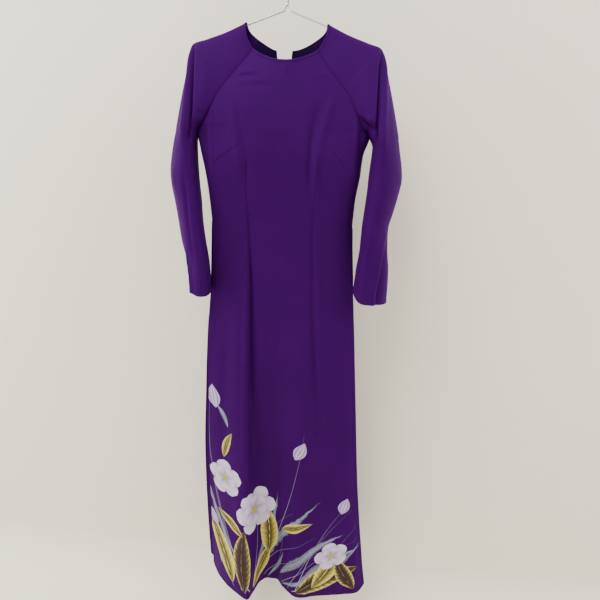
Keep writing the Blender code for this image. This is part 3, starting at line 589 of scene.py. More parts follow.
def front_grid():
    split = YOKE_ROWS + BODY_ROWS + 1
    edge_drop = levels("front_drop")
    share = shares(FRONT_COLUMNS)[None, :]
    side = 2.0 * share - 1.0
    drop = edge_drop[:split] + neck_sag(split, FRONT_NECK_SAG) * (1.0 - side * side)
    x, depth = body_form(edge_drop[:split], drop, share, "front_edge", "front")
    reach = ((np.abs(x) - BUST_X) ** 2 + (drop - BUST_DROP) ** 2) / BUST_SPREAD ** 2
    depth = depth + BUST_FULLNESS * np.exp(-reach) * (1.0 - side ** BUST_SIDE_FADE)
    tail = tail_form(FRONT_TAIL, FRONT_HEM, -1.0, edge_drop[split:], share)
    return np.concatenate((place(x, -depth, drop), tail))


def back_grid(half):
    """One half of the back, its columns from the side edge to the centre back."""
    split = YOKE_ROWS + BODY_ROWS + 1
    edge_drop = levels("back_drop")
    inward = 2.0 * shares(2 * BACK_COLUMNS)[None, :BACK_COLUMNS + 1]
    share = 0.5 + 0.5 * half * (1.0 - inward)
    drop = edge_drop[:split] + neck_sag(split, BACK_NECK_SAG) * (1.0 - (1.0 - inward) ** 2)
    x, depth = body_form(edge_drop[:split], drop, share, "back_edge", "back")
    top_drop = BACK_SEAM_DROP + BACK_NECK_SAG
    open_share = np.maximum((OPENING_END_DROP - drop) / (OPENING_END_DROP - top_drop), 0.0)
    x = x + open_share * (OPENING_OFFSET + half * OPENING_HALF) * inward ** 2
    tail = tail_form(BACK_TAIL, BACK_HEM, 1.0, edge_drop[split:], share)
    return np.concatenate((place(x, depth, drop), tail))


def rib_arc(ridge, seam, seam_depth, half_depth, bow, facing, middle, turn):
    """Points from the seam to the ridge along part of an ellipse; front facing is -1, back 1."""
    start = math.pi - np.arcsin(np.minimum(seam_depth / half_depth, 1.0))
    start = np.where(half_depth - seam_depth < 1e-4, math.pi / 2.0, start)
    angle = start * np.linspace(1.0, 0.0, SLEEVE_COLUMNS + 1)[None, :]
    across = (1.0 - np.cos(angle)) / (1.0 - np.cos(start))
    depth = half_depth * np.sin(angle)
    beyond = facing * (depth - blend(0.0, seam_depth, across))
    x = blend(ridge[0], seam[0], across) + bow * np.sin(math.pi * across) + turn * beyond
    return place(x, middle + facing * depth, blend(ridge[1], seam[1], across))


def sleeve_grid(half, arm):
    side = "left" if half == LEFT else "right"
    share = np.linspace(0.0, 1.0, YOKE_ROWS + 1)[:, None]
    ridge = (half * read(RIBS, side + "_ridge", share), read(RIBS, "ridge_drop", share))
    bow = half * read(RIBS, "bow", share)
    turn = half * SLEEVE_TURN[half] * read(RIBS, "turn", share)
    arcs = []
    for name, facing in FACINGS:
        drop = read(RIBS, name + "_drop", share)
        seam = (read(BODY, side, drop), drop)
        depth = read(BODY, name + "_edge", drop)
        widest = np.maximum(read(RIBS, name + "_depth", share), depth)
        arcs.append(rib_arc(ridge, seam, depth, widest, bow, facing, 0.0, turn))
    drop = np.linspace(ARMPIT_DROP, arm[-1].drop, ARM_ROWS + 1)[1:, None]
    ridge = (half * read(arm, "outer", drop), drop)
    seam = (half * read(arm, "inner", drop), drop)
    middle = read(ARM_DEPTH, "middle", drop)
    flat = np.zeros_like(drop)
    turn = half * SLEEVE_TURN[half]
    tube = [rib_arc(ridge, seam, flat, read(ARM_DEPTH, name, drop), 0.0, facing, middle, turn)
            for name, facing in FACINGS]
    near = np.maximum(1.0 - (arm[-1].drop - drop) / CUFF_LIFT_REACH, 0.0) ** CUFF_LIFT_FADE
    outward = np.cos(math.pi * np.linspace(1.0, 0.0, SLEEVE_COLUMNS + 1))[None, :]
    outer, inner = CUFF_LIFT[half]
    lift = (outer * np.maximum(outward, 0.0) ** CUFF_CORNER_FADE
            + inner * np.maximum(-outward, 0.0) ** CUFF_CORNER_FADE)
    for arc in tube:
        arc[:, :, 2] += near * lift
    rings = (np.concatenate((front, back[:, -2::-1]), axis=1) for front, back in (arcs, tube))
    return np.concatenate(tuple(rings))


# ---------------------------------------------------------------- normals, folds and seams
class Panel:
    """A grid of points with its normals, its place on the flat cloth, and which rows are rings."""

    def __init__(self, name, grid, turn, rings_from=None):
        self.name = name
        self.kind = name.split("_")[0]
        self.grid = grid
        self.turn = turn
        self.rings_from = len(grid) if rings_from is None else rings_from
        self.normals = self.outward()
        steps = np.linalg.norm(np.diff(grid, axis=1), axis=-1)
        run = np.concatenate((np.zeros((len(grid), 1)), np.cumsum(steps, axis=1)), axis=1)
        self.from_start = run
        self.from_end = run[:, -1:] - run
        self.drop = NECK_POINT_Z - grid[:, :, 2]
        middle = {"front": FRONT_COLUMNS // 2, "sleeve": SLEEVE_COLUMNS, "back": -1}[self.kind]
        self.across = run - run[:, middle][:, None]

    def outward(self):
        diagonal = self.grid[1:, 1:] - self.grid[:-1, :-1]
        other = self.grid[1:, :-1] - self.grid[:-1, 1:]
        faces = self.turn * np.cross(diagonal, other)
        normals = np.zeros_like(self.grid)
        normals[:-1, :-1] += faces
        normals[1:, :-1] += faces
        normals[:-1, 1:] += faces
        normals[1:, 1:] += faces
        ring = normals[self.rings_from:, 0] + normals[self.rings_from:, -1]
        normals[self.rings_from:, 0] = ring
        normals[self.rings_from:, -1] = ring
        return unit(normals)


def unit(vectors):
    return vectors / np.maximum(np.linalg.norm(vectors, axis=-1, keepdims=True), 1e-12)


def share_normals(panels):
    """Where two panels share a seam point they get one normal, so that they move out together."""
    meeting = {}
    for panel in panels:
        for row in range(panel.rings_from):
            for column in (0, -1):
                key = tuple(np.round(panel.grid[row, column], 6))
                meeting.setdefault(key, []).append((panel, row, column))
    for places in meeting.values():
        total = sum(panel.normals[row, column] for panel, row, column in places)
        for panel, row, column in places:
            panel.normals[row, column] = unit(total)


def fold_height(x, drop, folds):
    """Height of all the folds at each point, from the nearest place on each fold's path."""
    height = np.zeros_like(x)
    for shape, path in folds:
        best = np.full(x.shape, np.inf)
        lift = np.zeros_like(x)
        for a, b in zip(path, path[1:]):
            run_x, run_drop = b[0] - a[0], b[1] - a[1]
            square = run_x * run_x + run_drop * run_drop
            along = np.clip(((x - a[0]) * run_x + (drop - a[1]) * run_drop) / square, 0.0, 1.0)
            off_x = x - a[0] - along * run_x
            off_drop = drop - a[1] - along * run_drop
            reach = np.hypot(off_x, off_drop) / blend(a[2], b[2], along)
            amount = blend(a[3], b[3], eased(along))
            if shape == "tuck":
                side = np.sign(off_x * run_drop - off_drop * run_x)
                profile = side * reach * np.exp(0.5 - 0.5 * reach * reach)
            else:
                profile = np.exp(-reach * reach)
            nearer = reach < best
            best = np.where(nearer, reach, best)
            lift = np.where(nearer, amount * profile, lift)
        height += lift
    return height


def ripple_height(panel):
    """The faint unevenness of hanging cloth: long upright waves, weaker on the shoulders."""
    x, y, drop = panel.grid[:, :, 0], panel.grid[:, :, 1], panel.drop
    waves = sum(wave.share * np.sin(wave.x * x + wave.y * y + wave.drop * drop + wave.start)
                for wave in WAVES)
    return waves * blend(WAVES_ON_SHOULDERS, 1.0, eased((drop - WAVES_FULL_FROM) / WAVES_FULL_WITHIN))


def sewn(panel):
    """Which of a row's two ends is sewn, 0 to 1: the tails' side edges are free."""
    seam = YOKE_ROWS if panel.kind == "sleeve" else YOKE_ROWS + BODY_ROWS
    start = (np.arange(len(panel.grid)) <= seam).astype(float)[:, None]
    return start, np.ones_like(start) if panel.kind == "back" else start


def relief(panel, sizes):
    """How far each point stands out from the plain form."""
    x, drop = panel.grid[:, :, 0], panel.drop
    start, end = sewn(panel)
    window = 1.0 - start * (1.0 - eased(panel.from_start / SEAM_FADE))
    window = window * (1.0 - end * (1.0 - eased(panel.from_end / SEAM_FADE)))
    if panel.kind != "sleeve":
        folds = fold_height(x, drop, FRONT_FOLDS if panel.kind == "front" else BACK_FOLDS)
    else:
        ahead = LEFT_SLEEVE_FOLDS if panel.name.endswith("left") else RIGHT_SLEEVE_FOLDS
        folds = sum(fold_height(x, drop, some) * np.clip(facing * panel.normals[:, :, 1] * 2.0, 0.0, 1.0)
                    for some, (_, facing) in zip((ahead, BACK_SLEEVE_FOLDS), FACINGS))
    height = (folds * sizes.fold_strength + sizes.ripple * ripple_height(panel)) * window
    reach = sizes.seam_reach
    height -= sizes.seam_dip * start * np.exp(-(panel.from_start / reach) ** 2)
    height -= sizes.seam_dip * end * np.exp(-(panel.from_end / reach) ** 2)
    return height + sizes.hem_lift * hem_mask(panel, sizes, start, end)


def hem_mask(panel, sizes, start, end):
    """1 on the turned hems, less than 0 along their stitching, 0 elsewhere."""
    below = np.linalg.norm(np.diff(panel.grid, axis=0), axis=-1)
    to_hem = np.concatenate((np.cumsum(below[::-1], axis=0)[::-1], np.zeros((1, panel.grid.shape[1]))))
    if panel.kind == "sleeve":
        edge = to_hem
    else:
        side = np.where(start > 0.5, 1.0, panel.from_start)
        other = np.where(end > 0.5, 1.0, panel.from_end)
        edge = np.minimum(to_hem, np.minimum(side, other))
    raised = 1.0 - eased((edge / sizes.hem_width - 1.0) / HEM_STEP + 1.0)
    stitched = np.exp(-((edge - sizes.hem_width) / STITCH_WIDTH) ** 2)
    return raised - STITCH_DEPTH * stitched


def part_seams(panel, sizes):
    """Moves sewn edges back by half the seam gap, so that the seam shows as a fine line."""
    start, end = sewn(panel)
    grid = panel.grid
    for edge, inner, is_sewn in ((0, 1, start), (-1, -2, end)):
        inward = unit(grid[:, inner] - grid[:, edge])
        grid[:, edge] += inward * is_sewn * sizes.seam_gap / 2.0
    if panel.rings_from < len(grid):
        grid[panel.rings_from:, -1] = grid[panel.rings_from:, 0]


@functools.lru_cache(maxsize=None)
def panels():
    """The five cloth panels with their folds, made once and used by every operator."""
    sizes = bpy.context.scene.tunic_sizes
    made = [
        Panel("front", front_grid(), -1.0),
        Panel("back_left", back_grid(LEFT), 1.0),
        Panel("back_right", back_grid(RIGHT), -1.0),
        Panel("sleeve_left", sleeve_grid(LEFT, LEFT_ARM), 1.0, YOKE_ROWS),
        Panel("sleeve_right", sleeve_grid(RIGHT, RIGHT_ARM), -1.0, YOKE_ROWS),
    ]
    share_normals(made)
    for panel in made:
        panel.base = panel.grid.copy()
        panel.grid = panel.grid + panel.normals * relief(panel, sizes)[:, :, None]
        part_seams(panel, sizes)
    return {panel.name: panel for panel in made}


# ---------------------------------------------------------------- meshes
def sheet_mesh(name, grid, across, drop, turn, rings_from):
    """A one-layer sheet from a grid, with the flat cloth's metres as its UV map."""
    rows, columns = grid.shape[:2]
    number = np.arange(rows * columns).reshape(rows, columns)
    number[rings_from:, -1] = number[rings_from:, 0]
    corners = (number[:-1, :-1], number[1:, :-1], number[1:, 1:], number[:-1, 1:])
    places = np.stack((across, -drop), axis=-1)
    flat = (places[:-1, :-1], places[1:, :-1], places[1:, 1:], places[:-1, 1:])
    if turn < 0:
        corners, flat = corners[::-1], flat[::-1]
    faces = np.stack(corners, axis=-1).reshape(-1, 4)
    uv = np.stack(flat, axis=-2).reshape(-1, 2)
    used, faces = np.unique(faces, return_inverse=True)
    mesh = bpy.data.meshes.new(name)
    mesh.from_pydata(grid.reshape(-1, 3)[used].tolist(), [], faces.reshape(-1, 4).tolist())
    mesh.uv_layers.new(name="Cloth").data.foreach_set("uv", uv.ravel())
    return mesh


def add_piece(name, mesh, material):
    """Links a mesh as the scene's one selected and active object."""
    piece = bpy.data.objects.new(name, mesh)
    bpy.context.scene.collection.objects.link(piece)
    mesh.materials.append(material)
    bpy.ops.object.select_all(action="DESELECT")
    bpy.context.view_layer.objects.active = piece
    piece.select_set(True)
    return piece


def thicken(piece, thickness):
    solid = piece.modifiers.new("Cloth thickness", "SOLIDIFY")
    solid.thickness = thickness
    solid.offset = -1.0
    solid.use_quality_normals = True
    bpy.ops.object.modifier_apply(modifier=solid.name)
    bpy.ops.object.shade_smooth_by_angle(angle=SMOOTH_ANGLE)


def stands_for(piece, node):
    """Says which body a piece moves with and which node it replaces."""
    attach(piece, BODY_NAME)
    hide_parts(node)


def hung(piece, node):
    """The same for a hanging cloth piece."""
    stands_for(piece, node)


# ---------------------------------------------------------------- shader maths
class Signal:
    """A shader socket that adds Math nodes when it is used in an expression."""

    def __init__(self, shader, socket):
        self.shader = shader
        self.socket = socket

    def math(self, operation, *others, clamp=False):
        settings = {"operation": operation, "use_clamp": clamp}
        values = dict(enumerate((self,) + others))
        return self.shader.node("ShaderNodeMath", settings, values, "Value")

    def __rsub__(self, other):
        return self.shader.node("ShaderNodeMath", {"operation": "SUBTRACT"}, {0: other, 1: self}, "Value")

    __add__ = __radd__ = functools.partialmethod(math, "ADD")
    __sub__ = functools.partialmethod(math, "SUBTRACT")
    __mul__ = __rmul__ = functools.partialmethod(math, "MULTIPLY")
    __truediv__ = functools.partialmethod(math, "DIVIDE")
    __pow__ = functools.partialmethod(math, "POWER")
    __abs__ = functools.partialmethod(math, "ABSOLUTE")
    clamped = functools.partialmethod(math, "ADD", 0.0, clamp=True)

    def ramp(self, *stops):
        settings = {"stops": stops}
        return self.shader.node("ShaderNodeValToRGB", settings, {"Fac": self}, "Color")


class Shader:
    """A material's node tree, with one Principled shader and the user's sizes and colours."""

    def __init__(self, name):
        self.sizes = bpy.context.scene.tunic_sizes
        self.colours = bpy.context.scene.tunic_colours
        self.material = bpy.data.materials.new(name)
        self.material.use_nodes = True
        self.tree = self.material.node_tree
        self.surface = self.tree.nodes["Principled BSDF"]

    def colour(self, name, factor=1.0):
        """One of the user's colours, made darker or lighter."""
        return tuple(min(channel * factor, 1.0) for channel in getattr(self.colours, name))

    def node(self, kind, settings, values, output):
        made = self.tree.nodes.new(kind)
        for key, value in settings.items():
            if key == "stops":
                ramp = made.color_ramp
                while len(ramp.elements) < len(value):
                    ramp.elements.new(0.5)
                for element, (position, shade) in zip(ramp.elements, value):
                    element.position = position
                    element.color = (*shade, 1.0)
            else:
                setattr(made, key, value)
        for key, value in values.items():
            self.feed(made.inputs[key], value)
        return Signal(self, made.outputs[output])

    def feed(self, socket, value):
        if isinstance(value, Signal):
            self.tree.links.new(value.socket, socket)
        else:
            socket.default_value = value

    def set(self, **values):
        for key, value in values.items():
            self.feed(self.surface.inputs[key.replace("_", " ")], value)

    def mix(self, factor, a, b):
        """b over a by factor, as colours."""
        made = self.tree.nodes.new("ShaderNodeMix")
        made.data_type = "RGBA"
        for socket, value in ((made.inputs[0], factor), (made.inputs[6], a), (made.inputs[7], b)):
            self.feed(socket, rgba(value) if isinstance(value, tuple) else value)
        return Signal(self, made.outputs[2])

    def noise(self, vector, scale, detail=2.0, roughness=0.5):
        values = {"Vector": vector, "Scale": scale, "Detail": detail, "Roughness": roughness}
        return self.node("ShaderNodeTexNoise", {}, values, "Fac")

    def cloth_place(self):
        return self.node("ShaderNodeUVMap", {"uv_map": "Cloth"}, {}, "UV")

    def object_place(self):
        return self.node("ShaderNodeTexCoord", {}, {}, "Object")

    def scaled(self, vector, location, angle, scale):
        """The vector in a frame that stands at location, turned and scaled."""
        values = {"Vector": vector, "Location": (*location, 0.0), "Rotation": (0.0, 0.0, angle),
                  "Scale": (*scale, 1.0)}
        return self.node("ShaderNodeMapping", {"vector_type": "TEXTURE"}, values, "Vector")

    def parts(self, vector):
        split = self.tree.nodes.new("ShaderNodeSeparateXYZ")
        self.feed(split.inputs[0], vector)
        return Signal(self, split.outputs[0]), Signal(self, split.outputs[1])

    def mapped(self, vector, location, angle, scale):
        """The x and y of the vector in such a frame."""
        return self.parts(self.scaled(vector, location, angle, scale))

    def bump(self, height, distance, strength=1.0):
        values = {"Height": height, "Distance": distance, "Strength": strength}
        self.set(Normal=self.node("ShaderNodeBump", {}, values, "Normal"))


def rgba(values):
    return (*values[:3], 1.0)


def crepe(shader, painted=False, stitched=()):
    """Purple crepe, with a painted hem, or painted shade and a sunk bump along the darts, where they are
    asked for.
    """
    weave_size = shader.sizes.weave
    flat = shader.cloth_place()
    patches = shader.noise(shader.object_place(), 7.0, detail=3.0)
    ground = shader.mix(patches.math("MULTIPLY_ADD", 2.2, -0.6, clamp=True),
                        shader.colour("crepe_deep"), shader.colour("crepe"))
    grain = shader.noise(flat, 0.6 / weave_size, detail=2.0, roughness=0.7)
    across, down = shader.mapped(flat, (0.0, 0.0), 0.0, (weave_size, weave_size))
    weave = grain + (across * TURN).math("SINE") * (down * TURN).math("SINE") * 0.25
    if painted:
        ground = hem_painting(shader, ground, flat)
    if stitched:
        dart_shade_and_groove = stitched_runs(shader, flat, panels()["front"], stitched)
        # Painted shade: the colour is darkened along the darts, where shade falls in their creases; the same
        # mask also sinks the bump there.
        ground = shader.mix(dart_shade_and_groove * 0.5, ground, shader.colour("crepe", 0.35))
        weave = weave - dart_shade_and_groove * 6.0
    shader.set(Base_Color=ground, Roughness=grain * 0.16 + 0.46, Specular_IOR_Level=0.02)
    shader.set(Sheen_Weight=0.07, Sheen_Roughness=0.40, Sheen_Tint=rgba(shader.colour("crepe_sheen")))
    shader.bump(weave, 0.00012, 0.6)


def stitched_runs(shader, flat, panel, lines):
    """A mask along lines of stitching that are given by their places on the hanging cloth."""
    total = None
    for line in lines:
        for run in zip(line, line[1:]):
            (x0, v0), (x1, v1) = (on_cloth(panel, *end) for end in run)
            angle = math.atan2(v1 - v0, x1 - x0)
            size = math.hypot(x1 - x0, v1 - v0)
            along, beside = shader.mapped(flat, (x0, v0), angle, (size, DART_WIDTH))
            inside = (0.5 - abs(along - 0.5)).math("MULTIPLY", 400.0, clamp=True)
            mark = (1.0 - abs(beside)).clamped() * inside
            total = mark if total is None else total.math("MAXIMUM", mark)
    return total


def on_cloth(panel, x_mm, drop_mm):
    """The flat cloth's metres at a place of the hanging cloth that is given in millimetres."""
    x, drop = x_mm / 1000.0, drop_mm / 1000.0
    off = (panel.base[:, :, 0] - x) ** 2 + (panel.drop - drop) ** 2
    row, column = np.unravel_index(np.argmin(off), off.shape)
    return float(panel.across[row, column]) + x - float(panel.base[row, column, 0]), -drop


def painted_place(item):
    """Where a painted item starts on the flat cloth, and its turn."""
    return (item.across, -item.drop), math.radians(item.turn)


def brushed_leaf(shader, picture, flat, leaf, wobble, palette):
    """A pointed leaf, bud or blade laid over the picture, with its veins or brush marks."""
    spot, turn = painted_place(leaf)
    along, beside = shader.mapped(flat, spot, turn, (leaf.length, leaf.length))
    bow = (along * (1.0 - along)).math("MAXIMUM", 0.0)
    brushed = leaf.kind == "slate"
    side = abs(beside - bow * leaf.bend + wobble * (BLADE_WOBBLE if brushed else LEAF_WOBBLE))
    fullness = BUD_FULLNESS if leaf.kind == "bud" else LEAF_FULLNESS
    half = bow * (along * -LEAF_TAPER + fullness) * (leaf.width / leaf.length * 0.5)
    inside = ((half - side) * (leaf.length / PAINT_EDGE)).clamped()
    off = side / half.math("MAXIMUM", 0.001)
    if brushed:
        marks = shader.noise(shader.scaled(flat, spot, turn, (leaf.length * 0.5, BRISTLES)), 1.0, 2.0)
        inside = inside * (marks * 1.9 - 0.25).clamped()
        tone = off * 0.6 + marks * 0.5
    else:
        veins = (along * LEAF_VEINS - off * VEIN_SLANT).math("SINE")
        tone = off * (veins * 0.10 + 1.0) + wobble * 2.5
    return shader.mix(inside, picture, tone.ramp(*palette))


def brushed_stalk(shader, picture, flat, stalk):
    along, beside = shader.mapped(flat, *painted_place(stalk), (stalk.length, stalk.length))
    side = abs(beside - along * (1.0 - along) * stalk.bend)
    half = (along * -0.7 + 1.0) * (stalk.width / stalk.length)
    inside = ((half - side) * (stalk.length / FINE_PAINT_EDGE)).clamped()
    ends = (along * (1.0 - along) * 60.0).clamped()
    return shader.mix(inside * ends * 0.8, picture, shader.colour("stalk"))


def brushed_flower(shader, picture, flat, flower, wobble):
    """Two rings of rounded petals with shaded folds, and a speckled middle."""
    local = shader.scaled(flat, *painted_place(flower), (flower.size, flower.size * flower.squash))
    away = shader.node("ShaderNodeVectorMath", {"operation": "LENGTH"}, {0: local}, "Value")
    x, y = shader.parts(local)
    around = y.math("ARCTAN2", x)
    light, shade = shader.colour("petal"), shader.colour("petal_shade")
    middle = tuple(blend(a, b, 0.45) for a, b in zip(light, shade))
    for reach, offset in PETAL_RINGS:
        lobe = abs((around * (flower.petals / 2.0) + offset * math.pi).math("COSINE"))
        edge = (lobe ** 0.5 * 0.30 + wobble * 1.6 + 0.70) * reach
        off = away / edge
        inside = ((1.0 - off) * (flower.size * reach / PAINT_EDGE)).clamped()
        lines = (around * PETAL_LINES + wobble * 30.0).math("SINE")
        tone = off * 0.62 + lobe ** 0.6 * 0.42 + lines * 0.035
        tint = tone.ramp((0.25, shade), (0.62, middle), (0.92, light), (1.0, light))
        picture = shader.mix(inside, picture, tint)
    speckle = shader.noise(flat, 900.0, 1.0)
    tint = speckle.ramp((0.40, shader.colour("heart", 0.35)), (0.60, shader.colour("heart")))
    return shader.mix(((HEART_REACH - away) * (flower.size / HEART_EDGE)).clamped(), picture, tint)


def hem_painting(shader, picture, flat):
    """The generic spray of flowers and leaves, painted from the back layer to the front one."""
    wobble = (shader.noise(flat, 55.0, 3.0) - 0.5) * 0.10
    palettes = {kind: [(at, shader.colour(name, factor)) for at, name, factor in stops]
                for kind, stops in PALETTES.items()}
    for stalk in STALKS:
        picture = brushed_stalk(shader, picture, flat, stalk)
    for leaf in LEAVES:
        picture = brushed_leaf(shader, picture, flat, leaf, wobble, palettes[leaf.kind])
    for flower in FLOWERS:
        picture = brushed_flower(shader, picture, flat, flower, wobble)
    return picture


def satin(shader):
    across = shader.mapped(shader.cloth_place(), (0.0, 0.0), 0.35, (0.0006, 0.02))[0]
    cloudy = shader.noise(shader.object_place(), 30.0)
    shader.set(Base_Color=shader.mix(cloudy, shader.colour("facing"), shader.colour("facing", 2.2)),
               Roughness=cloudy * 0.15 + 0.34, Specular_IOR_Level=0.06)
    shader.bump((across * TURN).math("SINE"), 0.00005, 0.5)


def steel(shader):
    marks = shader.noise(shader.object_place(), 260.0, detail=3.0, roughness=0.6)
    shader.set(Base_Color=shader.mix(marks, shader.colour("steel", 0.8), shader.colour("steel")),
               Metallic=1.0, Roughness=marks * 0.14 + 0.20)
    shader.bump(marks, 0.00005, 0.4)


def wall(shader):
    grain = shader.noise(shader.object_place(), 220.0)
    shader.set(Base_Color=shader.mix(grain, shader.colour("wall"), shader.colour("wall", 1.03)),
               Roughness=0.9)


# Each material's name in the file, and what makes its nodes.
MATERIALS = {
    "crepe": ("Purple crepe", crepe),
    "darted": ("Purple crepe with darts", functools.partial(crepe, stitched=DARTS)),
    "painted": ("Purple crepe, painted hem", functools.partial(crepe, painted=True)),
    "satin": ("Dark satin facing", satin),
    "steel": ("Drawn steel wire", steel),
    "wall": ("Plain pale backdrop", wall),
}


@functools.lru_cache(maxsize=None)
def material(kind):
    """The material of a kind, made once."""
    name, make = MATERIALS[kind]
    shader = Shader(name)
    make(shader)
    return shader.material


# ---------------------------------------------------------------- operators
def paint_below(piece, drop):
    """Gives the faces below a drop the piece's second material, the painted one."""
    piece.data.materials.append(material("painted"))
    for face in piece.data.polygons:
        if face.center.z < NECK_POINT_Z - drop:
            face.material_index = 1


def add_panel(name, piece_name, finish):
    panel = panels()[name]
    mesh = sheet_mesh(piece_name, panel.grid, panel.across, panel.drop, panel.turn, panel.rings_from)
    piece = add_piece(piece_name, mesh, material(finish))
    thicken(piece, bpy.context.scene.tunic_sizes.cloth)
    hung(piece, name)
    return piece


class TUNIC_OT_front(bpy.types.Operator):
    """Builds the front panel with its darts, folds and painted hem"""
    bl_idname = "tunic.front"
    bl_label = "Front panel"

    def execute(self, context):
        front = add_panel("front", "Front_panel", "darted")
        paint_below(front, PAINTING_TOP)
        return {"FINISHED"}


class TUNIC_OT_backs(bpy.types.Operator):
    """Builds the two halves of the back, open below the neck and seamed to the hem"""
    bl_idname = "tunic.backs"
    bl_label = "Back panels"

    def execute(self, context):
        for side in SIDES:
            add_panel(f"back_{side}", f"Back_panel_{side}", "crepe")
        return {"FINISHED"}


class TUNIC_OT_sleeves(bpy.types.Operator):
    """Builds the raglan sleeves, from the neck to the turned cuffs"""
    bl_idname = "tunic.sleeves"
    bl_label = "Sleeves"

    def execute(self, context):
        for side in SIDES:
            add_panel(f"sleeve_{side}", f"Sleeve_{side}", "crepe")
        return {"FINISHED"}


class TUNIC_OT_facing(bpy.types.Operator):
    """Builds the dark satin facing inside both sides of the back neck opening"""
    bl_idname = "tunic.facing"
    bl_label = "Back neck facing"

    def execute(self, context):
        sizes = context.scene.tunic_sizes
        for side in SIDES:
            panel = panels()[f"back_{side}"]
            rows = int(FACING_SHARE * YOKE_ROWS) + 1
            grid = panel.grid[:rows] - panel.normals[:rows] * (sizes.cloth + FACING_INSET)
            grid[:, 0] = blend(grid[:, 0], grid[:, 1], FACING_EDGE_BACK)
            mesh = sheet_mesh("Facing", grid, panel.across[:rows], panel.drop[:rows], panel.turn, rows)
            piece = add_piece(f"Back_neck_facing_{side}", mesh, material("satin"))
            thicken(piece, sizes.facing)
            hung(piece, f"back_facing_{side}")
        return {"FINISHED"}


class TUNIC_OT_binding(bpy.types.Operator):
    """Builds the narrow rolled binding round the neckline"""
    bl_idname = "tunic.binding"
    bl_label = "Neck binding"

    def execute(self, context):
        sizes = context.scene.tunic_sizes
        order = (("back_left", -1), ("sleeve_left", -1), ("front", 1), ("sleeve_right", 1), ("back_right", 1))
        stretches = []
        for name, step in order:
            panel = panels()[name]
            edge, below = panel.grid[:2, ::step]
            stretch = np.stack((edge, unit(below - edge), panel.normals[0, ::step]))
            stretches.append(stretch[:, 1:] if stretches else stretch)
        top, down, out = np.concatenate(stretches, axis=1)
        half_width = sizes.binding_width / 2.0
        half_height = sizes.binding_height / 2.0
        turn = np.linspace(0.0, TURN, BINDING_CORNERS, endpoint=False)[None, :, None]
        middle = top + down * (half_width - BINDING_OVER_EDGE) + out * (half_height + BINDING_INSET)
        rings = (middle[:, None] + down[:, None] * half_width * np.cos(turn)
                 + out[:, None] * half_height * np.sin(turn))
        rings = np.concatenate((rings, rings[:, :1]), axis=1)
        along = np.concatenate(([0.0], np.cumsum(np.linalg.norm(np.diff(top, axis=0), axis=-1))))
        girth = np.linspace(0.0, sizes.binding_width * BINDING_GIRTH, BINDING_CORNERS + 1)
        across, drop = np.meshgrid(girth, along)
        mesh = sheet_mesh("Binding", rings, across, drop, 1.0, 0)
        piece = add_piece("Neck_binding", mesh, material("crepe"))
        close_ends()
        stands_for(piece, "neck_binding")
        return {"FINISHED"}


def close_ends():
    """Fills the open ends of the active tube and turns its faces out."""
    bpy.ops.object.mode_set(mode="EDIT")
    bpy.ops.mesh.select_mode(type="EDGE")
    bpy.ops.mesh.select_all(action="DESELECT")
    bpy.ops.mesh.select_non_manifold(extend=False)
    bpy.ops.mesh.fill_holes(sides=0)
    bpy.ops.mesh.select_all(action="SELECT")
    bpy.ops.mesh.normals_make_consistent(inside=False)
    bpy.ops.object.mode_set(mode="OBJECT")
    bpy.ops.object.shade_smooth_by_angle(angle=SMOOTH_ANGLE)


class TUNIC_OT_wire(bpy.types.Operator):
    """Gives the hanger its drawn steel finish"""
    bl_idname = "tunic.wire"
    bl_label = "Wire hanger"

    def execute(self, context):
        for placed in bpy.data.objects["hanger_wire"].material_slots:
            placed.material = material("steel")
        return {"FINISHED"}


# ---------------------------------------------------------------- the stage
WALL_Y, WALL_HEIGHT = 0.16, 4.0
FLOOR_Z, FLOOR_HALF_WIDTH, FLOOR_FRONT_Y = -1.62, 5.0, -4.0
COVE_RADIUS = 0.10
CAMERA_PLACE = (0.1219, -0.98, -0.4239)
CAMERA_DEGREES = (14.9, -4.2, -2.6)     # down, to the right, and round its line of sight
CAMERA_LENS_MM, SENSOR_WIDTH_MM = 27.0, 36.0
WARM, WARM_FILL = (1.0, 0.975, 0.93), (1.0, 0.985, 0.95)
ROOM_LIGHT = 0.50
LIGHTS = named_rows(
    "name place aim size power tint",
    ("Ceiling light", (-0.9, -1.35, 1.5), (0.0, 0.0, -0.5), 1.5, 74.0, WARM),
    ("Ceiling light, right", (1.4, -1.2, 1.3), (0.0, 0.0, -0.5), 1.2, 18.0, WARM),
    ("Left fill", (-1.9, -0.45, -0.2), (-0.2, 0.0, -0.6), 1.3, 33.0, WARM_FILL),
    ("Right fill", (2.0, -0.45, 0.1), (0.2, 0.0, -0.5), 1.3, 31.0, WARM_FILL),
)


